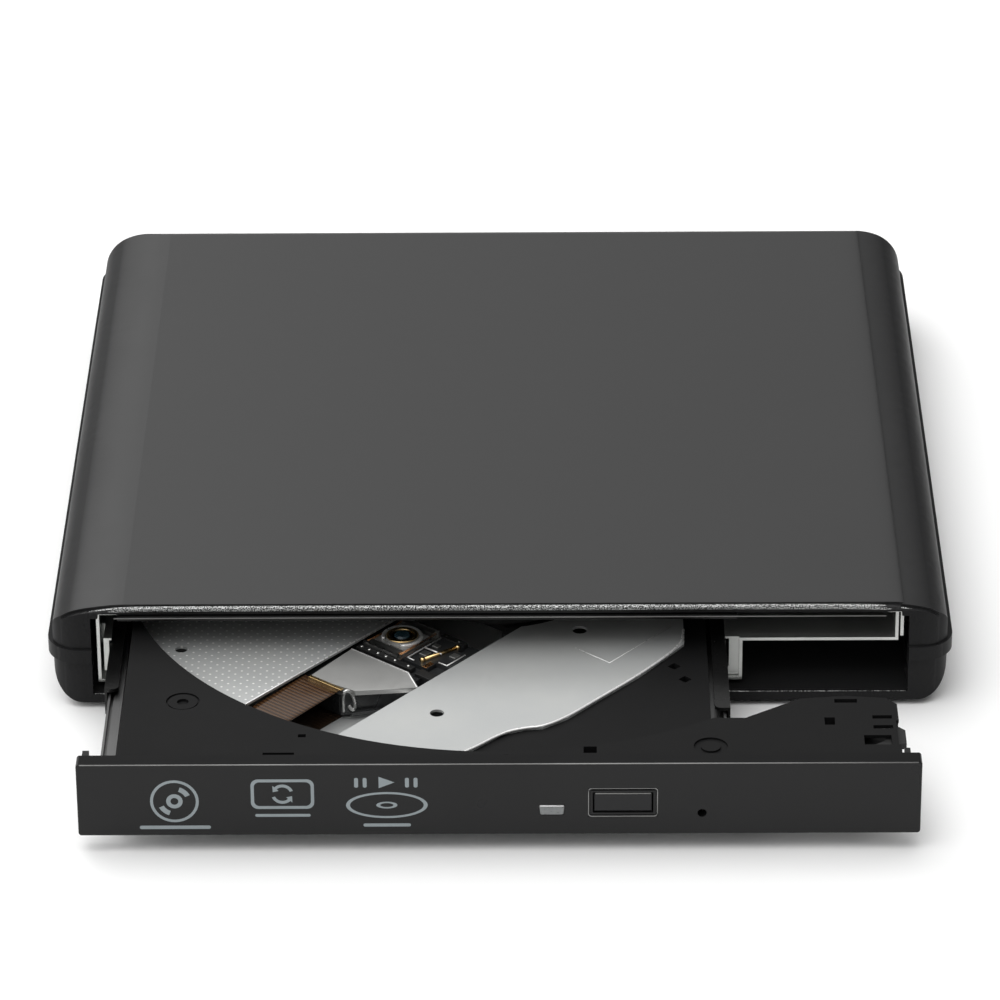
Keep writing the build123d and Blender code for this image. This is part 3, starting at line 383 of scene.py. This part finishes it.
lip_highlight_grain = highlight_grain_material("lip_highlight_grain")
painted_edge_highlight = moulded("painted_edge_highlight", (0.22, 0.22, 0.215), 0.35, 0.4, 0.0003, 0.00001, 0.06, 0.25)
lamp_edge_highlight = moulded("lamp_edge_highlight", (0.85, 0.85, 0.85), 0.35, 0.5, 0.0003, 0.000004, 0.05, 0.1)
rail_black = moulded("rail_black", (0.005, 0.005, 0.005), 0.28, 0.35, 0.0003, 0.000006, 0.05, 0.15)
print_ink = moulded("print_ink", (0.27, 0.305, 0.32), 0.5, 0.3, 0.00015, 0.000003, 0.05, 0.05)

FINISHES = {
    case_plastic: "top_cover bottom_shell",
    rubber: "rubber_feet turntable_ring",
    screw_steel: "case_screws drive_screws tray_screws",
    board_green: "bridge_board main_board switch_board",
    chip_black: "bridge_chips main_board_chips switch_and_led",
    bright_steel: "usb_socket main_guide_rod side_guide_rod spindle_shaft lead_screw",
    black_part: "usb_insert board_connector drive_connector latch_lever turntable claw_1 claw_2 claw_3",
    rail_black: "rail_left rail_right",
    chassis_steel: "chassis_pan chassis_top_plate rail_guide_left rail_guide_right",
    white_flex: "main_flex tray_flex",
    tray_plastic: "tray",
    bezel_plastic: "bezel",
    button_plastic: "eject_button",
    lamp_clear: "led_window",
    motor_steel: "latch_magnet sled_motor spindle_base rotor_cup lens_yoke",
    rail_steel: "tray_rail_left tray_rail_right",
    plate_dotted: "shield_plate_left",
    plate_plain: "shield_plate_right tray_bottom_shield",
    frame_black: "traverse_frame rod_clamps",
    winding: "stator_coils",
    film_dark: "pickup_flex",
    white_plastic: "release_slider screw_nut",
    dark_cast: "pickup_base laser_module",
    zinc_cast: "lens_magnets",
    pickup_grey: "pickup_cover lens_holder",
    lens_glass: "objective_lens",
}
for material, names in FINISHES.items():
    for name in names.split():
        mesh = nodes[name].data
        mesh.materials.clear()
        mesh.materials.append(material)

# ---------------------------------------------------------------------------
# Pieces drawn as meshes
# ---------------------------------------------------------------------------
def piece(name, body, material, build, bevel=0.0, smooth=True):
    """An object built by build(bm), in the row frame, that moves with a body."""
    bm = bmesh.new()
    build(bm)
    bmesh.ops.recalc_face_normals(bm, faces=bm.faces)
    mesh = bpy.data.meshes.new(name)
    bm.to_mesh(mesh)
    bm.free()
    mesh.materials.append(material)
    obj = bpy.data.objects.new(name, mesh)
    bpy.context.scene.collection.objects.link(obj)
    if smooth:
        for face in mesh.polygons:
            face.use_smooth = True
    if bevel:
        mod = obj.modifiers.new("edge", "BEVEL")
        mod.width = bevel * MM
        mod.segments = 2
        mod.harden_normals = smooth
    if body:
        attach(obj, body)
    return obj


def slab(bm, outline, z0, z1):
    """A flat plate over an outline given as row-frame places."""
    low_ring = [bm.verts.new((p[0], p[1], z0 * MM)) for p in outline]
    high_ring = [bm.verts.new((p[0], p[1], z1 * MM)) for p in outline]
    bm.faces.new(list(reversed(low_ring)))
    bm.faces.new(high_ring)
    for i in range(len(outline)):
        j = (i + 1) % len(outline)
        bm.faces.new((low_ring[i], low_ring[j], high_ring[j], high_ring[i]))


def footprint(x0, x1, d0, d1):
    """The outline of a block, from its left and right sides and its front and back depths."""
    return [at(x, d, 0) for x, d in ((x0, d0), (x1, d0), (x1, d1), (x0, d1))]


def tube(bm, path, radius, sides=10, taper=0):
    """A round bar along a path of places, closed at its ends, which may thin out over a few places."""
    rings = []
    for i, p in enumerate(path):
        before = path[max(i - 1, 0)]
        after = path[min(i + 1, len(path) - 1)]
        along = (after - before).normalized()
        level = Vector((0, 0, 1)) if abs(along.z) < 0.9 else Vector((1, 0, 0))
        a = along.cross(level).normalized()
        b = along.cross(a)
        grow = min(1.0, (min(i, len(path) - 1 - i) + 0.6) / taper) if taper else 1.0
        ring = []
        for k in range(sides):
            t = 2 * math.pi * k / sides
            ring.append(bm.verts.new(p + (a * math.cos(t) + b * math.sin(t)) * radius * grow * MM))
        rings.append(ring)
    for one, two in zip(rings, rings[1:]):
        for k in range(sides):
            m = (k + 1) % sides
            bm.faces.new((one[k], one[m], two[m], two[k]))
    bm.faces.new(list(reversed(rings[0])))
    bm.faces.new(rings[-1])


def turned(bm, centre, profile, sides=24):
    """A turned shape about an upright axis; the profile is (radius, height) in mm, from the bottom up."""
    rings = []
    for r, z in profile:
        if r < 1e-6:
            rings.append([bm.verts.new((centre[0], centre[1], z * MM))])
            continue
        ring = []
        for k in range(sides):
            t = 2 * math.pi * k / sides
            x = centre[0] + r * MM * math.cos(t)
            y = centre[1] + r * MM * math.sin(t)
            ring.append(bm.verts.new((x, y, z * MM)))
        rings.append(ring)
    for one, two in zip(rings, rings[1:]):
        for k in range(sides):
            m = (k + 1) % sides
            if len(one) == 1:
                bm.faces.new((one[0], two[m], two[k]))
            elif len(two) == 1:
                bm.faces.new((one[k], one[m], two[0]))
            else:
                bm.faces.new((one[k], one[m], two[m], two[k]))
    for ring in (rings[0], rings[-1]):
        if len(ring) > 1:
            bm.faces.new(ring)


def solder_dot(bm, centre, r, z, h):
    turned(bm, centre, [(r, z), (r * 0.92, z + h * 0.45), (r * 0.6, z + h * 0.85), (0, z + h)], 14)


def soften(points, times=2):
    """Rounds the corners of an open path."""
    for _ in range(times):
        out = [points[0]]
        for p, q in zip(points, points[1:]):
            out += [p.lerp(q, 0.25), p.lerp(q, 0.75)]
        points = out + [points[-1]]
    return points


# The folded front edge of the right-hand plate, and the guide line pressed into it, drawn in a brighter
# copy of the plate steel as painted highlights
plate_edge = [(-9.0, -34.2), (-4.5, -31.2), (0.6, -25.9), (4.1, -24.5), (6.7, -24.2), (10.5, -21.3),
              (15.5, -15.5),
              (21.9, -8.3), (28.9, 1.2), (29.2, 6.0)]
edge_path = soften([at(x, d, 10.42) for x, d in plate_edge])
piece("plate_rolled_edge", "disc_tray", bright_trim_and_highlight, lambda bm: tube(bm, edge_path, 0.24, 10))
fold = [at(12.0, 0.4, 10.4), at(17.3, -4.4, 10.4), at(27.4, 7.5, 10.4)]
piece("plate_guide_line", "disc_tray", bright_trim_and_highlight, lambda bm: tube(bm, fold, 0.06, 6))
# Bright line along the slot edge of the left plate, a painted highlight
slot_edge = [on_traverse(u, -4.38, 10.38) for u in (17.0, 30.0, 45.0, 59.0)]
piece("plate_slot_edge", "disc_tray", bright_trim_and_highlight, lambda bm: tube(bm, slot_edge, 0.12, 8))

# Flat cable from the pickup out under the rim of the well and back down to the tray
cable_path = [(42.9, 9.78), (45.0, 9.75), (48.0, 9.7), (51.0, 9.62), (54.0, 9.55), (57.0, 9.45),
              (60.0, 9.2), (62.4, 8.7),
              (63.8, 8.0), (64.3, 7.2), (63.9, 6.3), (62.8, 5.6), (61.0, 5.2), (58.0, 5.05)]


def draw_pickup_cable(bm):
    rows = []
    for u, z in cable_path:
        rows.append([bm.verts.new(on_traverse(u, CABLE_LOW_V + CABLE_WIDTH * k / 8, z)) for k in range(9)])
    for one, two in zip(rows, rows[1:]):
        for k in range(8):
            bm.faces.new((one[k], one[k + 1], two[k + 1], two[k]))


cable = piece("pickup_cable", None, amber_flex, draw_pickup_cable)
thick = cable.modifiers.new("film", "SOLIDIFY")
thick.thickness = 0.12 * MM
thick.offset = 0
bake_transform(cable)

# Pickup: cover trim, clip, lens surround, wires and small parts
def on_pickup(name, material, build, bevel=0.0):
    return piece(name, "pickup", material, build, bevel)


def rect(u0, u1, v0, v1):
    return [on_traverse(u0, v0, 0), on_traverse(u1, v0, 0), on_traverse(u1, v1, 0), on_traverse(u0, v1, 0)]


on_pickup("cover_gold_edge", gold, lambda bm: slab(bm, rect(42.3, 42.95, -3.2, 3.6), 9.72, 9.9), 0.05)
cover_back = [on_traverse(32.0, -3.9, 9.82), on_traverse(32.0, 8.0, 9.82), on_traverse(34.6, 12.1, 9.82)]
cover_side = [on_traverse(34.6, 12.1, 9.7), on_traverse(41.5, 5.3, 9.7)]
on_pickup("cover_fold", bright_trim_and_highlight, lambda bm: tube(bm, cover_back, 0.1, 8))
on_pickup("cover_side_fold", pickup_grey, lambda bm: tube(bm, cover_side, 0.12, 8))


def draw_clip(bm):
    hook = [on_traverse(43.2, 4.3, 6.4), on_traverse(43.3, 4.3, 9.4), on_traverse(42.9, 4.5, 10.1),
            on_traverse(42.3, 5.0, 10.0), on_traverse(42.1, 5.6, 8.6), on_traverse(42.2, 5.9, 7.2),
            on_traverse(42.6, 5.6, 6.8), on_traverse(42.8, 5.1, 7.6)]
    tube(bm, soften(hook), 0.28, 10)


on_pickup("cover_clip", motor_steel, draw_clip)


def draw_lens_ring(bm):
    c = on_traverse(LENS_U, 0, 0)
    turned(bm, c, [(2.55, 10.3), (2.55, 10.42), (2.3, 10.55), (1.9, 10.55), (1.7, 10.36), (1.72, 10.3)], 40)


piece("lens_gold_ring", "lens", gold, draw_lens_ring)


def draw_lens_mark(bm):
    for a in range(0, 360, 40):
        t = math.radians(a)
        c = on_traverse(LENS_U + 3.1 * math.cos(t), 3.0 * math.sin(t), 0)
        solder_dot(bm, c, 0.16, 9.88, 0.12)


piece("lens_holder_dots", "lens", solder, draw_lens_mark)


def draw_surround(bm):
    pts = []
    for a in range(35, 326, 10):
        t = math.radians(a)
        pts.append(on_traverse(LENS_U + 3.0 * math.cos(t), 3.1 * math.sin(t), 10.12))
    tube(bm, pts, 0.3, 8)


piece("lens_silver_surround", "lens", bright_trim_and_highlight, draw_surround)


def draw_wires(bm):
    for v in (-3.55, -3.3, 3.3, 3.55):
        wire = [on_traverse(19.9, v, 9.95), on_traverse(24.0, v * 0.985, 9.85), on_traverse(28.6, v, 9.95)]
        tube(bm, wire, 0.06, 6)


on_pickup("suspension_wires", copper, draw_wires)


def draw_terminals(bm):
    slab(bm, rect(29.7, 30.9, -3.9, 7.6), 9.0, 9.75)
    slab(bm, rect(18.9, 20.0, 4.4, 9.2), 9.0, 9.9)
    slab(bm, rect(29.4, 31.2, 8.6, 12.2), 9.0, 9.6)


on_pickup("terminal_blocks", black_part, draw_terminals, 0.08)


def draw_terminal_dots(bm):
    back_row = [(30.3, v) for v in (-3.2, -1.6, 0.2, 1.9, 3.8, 6.6)]
    for u, v in back_row + [(19.4, 5.2), (19.4, 7.8)]:
        solder_dot(bm, on_traverse(u, v, 0), 0.28, 9.7, 0.28)


on_pickup("terminal_solder", solder, draw_terminal_dots)


def draw_laser_mount(bm):
    tube(bm, [on_traverse(21.2, 8.9, 9.95), on_traverse(27.6, 7.3, 9.95)], 0.34, 12)
    tube(bm, [on_traverse(20.8, 9.0, 9.95), on_traverse(21.4, 8.85, 9.95)], 0.45, 12)
    tube(bm, [on_traverse(27.4, 7.35, 9.95), on_traverse(28.0, 7.2, 9.95)], 0.45, 12)


on_pickup("laser_gold_pin", gold, draw_laser_mount)


def draw_laser_frame(bm):
    near_wire = [on_traverse(u, v, 10.0) for u, v in ((20.6, 5.0), (28.7, 5.0), (28.7, 6.4))]
    far_wire = [on_traverse(u, v, 10.05) for u, v in ((22.4, 11.6), (26.8, 11.6), (26.8, 9.9))]
    tube(bm, near_wire, 0.12, 8)
    tube(bm, far_wire, 0.12, 8)
    tube(bm, [on_traverse(24.6, 5.1, 10.1), on_traverse(24.6, 8.6, 10.1)], 0.14, 8)


on_pickup("laser_spring_frame", bright_trim_and_highlight, draw_laser_frame)


def draw_laser_parts(bm):
    slab(bm, rect(25.2, 26.6, 5.6, 7.0), 9.7, 10.15)
    slab(bm, rect(22.4, 23.4, 5.5, 6.7), 9.7, 10.1)
    slab(bm, rect(23.0, 24.4, 9.9, 11.2), 9.9, 10.2)


on_pickup("laser_small_parts", zinc_cast, draw_laser_parts, 0.1)
on_pickup("laser_copper_track", copper, lambda bm: slab(bm, rect(27.2, 29.0, 8.4, 9.2), 9.7, 9.8), 0.03)


def draw_base_ribs(bm):
    slab(bm, rect(43.0, 43.12, -5.6, -1.0), 6.0, 8.6)
    slab(bm, rect(43.0, 43.12, 0.2, 3.4), 6.0, 8.6)
    tube(bm, [on_traverse(42.3, 5.0, 5.8), on_traverse(36.2, 9.6, 5.8)], 0.3, 8)


on_pickup("base_ribs", dark_cast, draw_base_ribs, 0.04)

# Sled drive: a coarse thread on the lead screw, one pitch to the turn
def draw_thread(bm):
    rings = []
    steps, sides = 158, 18
    for i in range(steps + 1):
        s = i / steps * THREAD_LENGTH
        ring = []
        for k in range(sides):
            t = 2 * math.pi * k / sides
            wave = math.cos(t + 2 * math.pi * s / THREAD_PITCH)
            r = 1.02 + 0.27 * max(0.0, min(1.0, (wave + 0.1) * 1.6))
            place = on_traverse(THREAD_START_U + s, SCREW_V + r * math.cos(t), SCREW_Z + r * math.sin(t))
            ring.append(bm.verts.new(place))
        rings.append(ring)
    for one, two in zip(rings, rings[1:]):
        for k in range(sides):
            m = (k + 1) % sides
            bm.faces.new((one[k], one[m], two[m], two[k]))
    bm.faces.new(list(reversed(rings[0])))
    bm.faces.new(rings[-1])
    tube(bm, [on_traverse(u, SCREW_V, SCREW_Z) for u in (9.5, 10.0, THREAD_START_U)], 0.79, 16)
    tube(bm, [on_traverse(u, SCREW_V, SCREW_Z) for u in (51.0, 52.0, 57.4)], 0.79, 16)


thread = piece("lead_screw_thread", "lead_screw_body", bright_steel, draw_thread)
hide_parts("lead_screw")


# Fine grey and white lines painted as edge highlights: the top of the bezel, the frame round the button,
# the button and the lamp
BUTTON_X = 18.8
BUTTON_Z = 8.5


def edge_line(name, body, material, places, radius, back=0.08):
    path = [Vector((x * MM, front + back * MM, z * MM)) for x, z in places]
    return piece(name, body, material, lambda bm: tube(bm, path, radius, 8))


top_line = [(x, 15.3) for x in (-63.4, -20.0, 20.0, 63.4)]
edge_line("bezel_top_edge", "disc_tray", painted_edge_highlight, top_line, 0.1, 0.1)
frame_x = 5.24
frame_z = 2.46
corner = 0.5
button_frame = []
for sx, sz, start in ((1, 1, 0), (-1, 1, 90), (-1, -1, 180), (1, -1, 270)):
    for turn_by in (0, 30, 60, 90):
        t = math.radians(start + turn_by)
        button_frame.append((BUTTON_X + sx * (frame_x - corner) + corner * math.cos(t),
                             BUTTON_Z + sz * (frame_z - corner) + corner * math.sin(t)))
edge_line("button_frame_edge", "disc_tray", painted_edge_highlight, button_frame + [button_frame[0]], 0.085)
button_line = [(BUTTON_X - 4.2, BUTTON_Z + 1.5), (BUTTON_X + 4.2, BUTTON_Z + 1.5)]
edge_line("button_top_edge", "eject_button_body", painted_edge_highlight, button_line, 0.12, 0.2)
edge_line("lamp_top_edge", "disc_tray", lamp_edge_highlight, [(6.2, 7.9), (9.8, 7.9)], 0.13, 0.1)

# Cover plate under the latch, let into the tray's wing
piece("latch_cover", "disc_tray", black_part,
      lambda bm: slab(bm, footprint(52.7, 60.9, -39.3, -27.2), 11.42, 11.56), 0.03)


# Generic disc pictograms printed on the front
def print_mark(bm, outer, inner=None):
    """A flat printed shape; with inner, the band between two outlines of equal length."""
    thick = 0.00001
    y0, y1 = front - thick, front + thick
    if inner is None:
        a = [bm.verts.new((x * MM, y0, z * MM)) for x, z in outer]
        b = [bm.verts.new((x * MM, y1, z * MM)) for x, z in outer]
        bm.faces.new(a)
        bm.faces.new(list(reversed(b)))
        for i in range(len(a)):
            j = (i + 1) % len(a)
            bm.faces.new((a[i], a[j], b[j], b[i]))
        return
    of, inf, ob, inb = [[bm.verts.new((x * MM, y, z * MM)) for x, z in loop]
                        for y in (y0, y1) for loop in (outer, inner)]
    for i in range(len(of)):
        j = (i + 1) % len(of)
        bm.faces.new((of[i], of[j], inf[j], inf[i]))
        bm.faces.new((ob[j], ob[i], inb[i], inb[j]))
        bm.faces.new((of[j], of[i], ob[i], ob[j]))
        bm.faces.new((inf[i], inf[j], inb[j], inb[i]))


def oval(cx, cz, rx, rz, n=40, start=0.0, stop=360.0):
    out = []
    for i in range(n + (0 if stop - start >= 360 else 1)):
        t = math.radians(start + (stop - start) * i / n)
        out.append((cx + rx * math.cos(t), cz + rz * math.sin(t)))
    return out


def pill(x0, x1, z0, z1, r):
    out = []
    corners = ((x1 - r, z1 - r, 0), (x0 + r, z1 - r, 90), (x0 + r, z0 + r, 180), (x1 - r, z0 + r, 270))
    for cx, cz, a in corners:
        out += oval(cx, cz, r, r, 5, a, a + 90)
    return out


def arc_band(cx, cz, outer, inner, n, start, stop):
    return oval(cx, cz, outer, outer, n, start, stop) + oval(cx, cz, inner, inner, n, start, stop)[::-1]


def draw_disc_mark(bm):
    cx, cz = -49.2, 9.0
    print_mark(bm, oval(cx, cz, 3.7, 3.7), oval(cx, cz, 3.25, 3.25))
    print_mark(bm, oval(cx, cz, 1.25, 1.25), oval(cx, cz, 0.6, 0.6))
    for a in (25.0, 205.0):
        print_mark(bm, arc_band(cx, cz, 2.6, 1.8, 8, a, a + 45))
    print_mark(bm, pill(-54.6, -43.8, 4.1, 4.7, 0.28))


def draw_rewrite_mark(bm):
    print_mark(bm, pill(-37.6, -28.0, 7.6, 12.8, 1.1), pill(-37.1, -28.5, 8.1, 12.3, 0.8))
    cx, cz = -32.8, 10.2
    for start in (200, 20):
        print_mark(bm, arc_band(cx, cz, 1.7, 1.2, 10, start, start + 115))
        t = math.radians(start + 115)
        arrow = ((2.1, t), (0.8, t), (1.5, t + 0.55))
        tip = [(cx + r * math.cos(a), cz + r * math.sin(a)) for r, a in arrow]
        print_mark(bm, tip)
    print_mark(bm, pill(-37.0, -28.6, 6.2, 6.7, 0.24))


def draw_play_mark(bm):
    print_mark(bm, oval(-17.0, 8.2, 6.2, 2.3), oval(-17.0, 8.2, 5.6, 1.95))
    print_mark(bm, oval(-17.0, 8.2, 1.6, 0.6), oval(-17.0, 8.2, 1.0, 0.35))
    print_mark(bm, [(-18.2, 11.2), (-15.8, 12.2), (-18.2, 13.2)])
    for x in (-21.6, -20.3, -13.9, -12.6):
        print_mark(bm, pill(x - 0.3, x + 0.3, 11.3, 13.0, 0.25))
    print_mark(bm, pill(-20.6, -13.4, 4.4, 4.95, 0.26))


for mark_name, draw in (("front_mark_disc", draw_disc_mark), ("front_mark_rewrite", draw_rewrite_mark),
                        ("front_mark_play", draw_play_mark)):
    piece(mark_name, "disc_tray", print_ink, draw, smooth=False)

# The grained lip along the top of the mouth, following the cover's cross-section; its bright flecks are
# painted highlight
lip_curve = [(65.2, 17.2), (63.0, 17.42), (59.0, 17.66), (55.0, 17.74), (30.0, 17.76)]
lip_path = [at(-x, 0.36, z) for x, z in lip_curve] + [at(x, 0.36, z) for x, z in reversed(lip_curve)]
piece("mouth_upper_lip", "case", lip_highlight_grain, lambda bm: tube(bm, soften(lip_path), 0.46, 14, 9))

# Dull rib inside the top of the mouth, with a grey line painted as a highlight on the edge in front of it
piece("mouth_inner_rib", "case", black_part,
      lambda bm: slab(bm, footprint(-60.5, 37.5, 0.5, 1.6), 15.5, 16.3))
piece("mouth_inner_line", "case", painted_edge_highlight,
      lambda bm: tube(bm, [at(x, 0.1, 16.18) for x in (-61.0, -20.0, 20.0, 61.0)], 0.09, 8))

# Bright flecked line painted as a highlight along the lower edge of the mouth
piece("mouth_lower_edge", "case", lip_highlight_grain,
      lambda bm: tube(bm, [at(x, 0.12, 2.5) for x in (-64.5, -30.0, 0.0, 30.0, 64.5)], 0.09, 8))

# ---------------------------------------------------------------------------
# Camera, light and floor
# ---------------------------------------------------------------------------
scene = bpy.context.scene
scene.view_settings.view_transform = "Standard"
scene.view_settings.look = "None"

azimuth = math.radians(0.389)
elevation = math.radians(28.094)
roll = math.radians(-0.412)
distance = 0.863143
back = Vector((math.sin(azimuth) * math.cos(elevation), -math.cos(azimuth) * math.cos(elevation),
               math.sin(elevation)))
right = Vector((math.cos(azimuth), math.sin(azimuth), 0))
up = back.cross(right)
target = at(0.187, 0, 37.222)
camera_data = bpy.data.cameras.new("camera")
camera_data.sensor_width = 36.0
camera_data.lens = 199.07
camera_data.clip_end = 20.0
camera = bpy.data.objects.new("camera", camera_data)
scene.collection.objects.link(camera)
rolled_right = right * math.cos(roll) + up * math.sin(roll)
rolled_up = up * math.cos(roll) - right * math.sin(roll)
turn = Matrix((rolled_right, rolled_up, back)).transposed().to_4x4()
camera.matrix_world = Matrix.Translation(target + back * distance) @ turn
scene.camera = camera

world = bpy.data.worlds.new("studio")
world.use_nodes = True
wt = world.node_tree
sky = wt.nodes.new("ShaderNodeTexCoord")
axes = wt.nodes.new("ShaderNodeSeparateXYZ")
wt.links.new(sky.outputs["Generated"], axes.inputs["Vector"])


def graded(axis, start, end, low, high, smooth=True):
    """A factor that changes along one direction of the sky."""
    node = wt.nodes.new("ShaderNodeMapRange")
    if smooth:
        node.interpolation_type = "SMOOTHSTEP"
    node.inputs["From Min"].default_value = start
    node.inputs["From Max"].default_value = end
    node.inputs["To Min"].default_value = low
    node.inputs["To Max"].default_value = high
    wt.links.new(axes.outputs[axis], node.inputs["Value"])
    return node.outputs["Result"]


# Darker near the floor, brighter overhead and brighter on the left than on the right
strength = graded("Z", 0.0, 0.40, 0.20, 0.66)
for factor in (graded("Z", 0.55, 0.95, 1.0, 2.1), graded("X", -0.24, 0.24, 1.55, 0.4, False)):
    glow = wt.nodes.new("ShaderNodeMath")
    glow.operation = "MULTIPLY"
    wt.links.new(strength, glow.inputs[0])
    wt.links.new(factor, glow.inputs[1])
    strength = glow.outputs["Value"]
wt.links.new(strength, wt.nodes["Background"].inputs["Strength"])
wt.nodes["Background"].inputs["Color"].default_value = (1.0, 1.0, 0.995, 1)
scene.world = world


def soft_light(name, place, aim, size, power):
    data = bpy.data.lights.new(name, "AREA")
    data.shape = "RECTANGLE"
    data.size, data.size_y = size
    data.energy = power
    light = bpy.data.objects.new(name, data)
    scene.collection.objects.link(light)
    facing = (Vector(aim) - Vector(place)).to_track_quat("-Z", "Y").to_matrix().to_4x4()
    light.matrix_world = Matrix.Translation(place) @ facing


soft_light("key_back_left", Vector((-0.55, 0.85, 0.62)), (-0.05, 0, 0), (0.5, 0.4), 1.2)
soft_light("overhead", Vector((0.0, -0.1, 1.6)), (0, 0, 0), (2.2, 2.2), 12.0)

floor_mesh = bpy.data.meshes.new("floor")
floor_mesh.from_pydata([(-4, -4, 0), (4, -4, 0), (4, 4, 0), (-4, 4, 0)], [], [(0, 1, 2, 3)])
floor = bpy.data.objects.new("floor", floor_mesh)
scene.collection.objects.link(floor)
floor_mat, nt, bsdf, coord = new_material("floor_paper")
bsdf.inputs["Base Color"].default_value = (0.95, 0.95, 0.95, 1)
bsdf.inputs["Roughness"].default_value = 0.9
bsdf.inputs["Specular IOR Level"].default_value = 0.1
floor_mesh.materials.append(floor_mat)
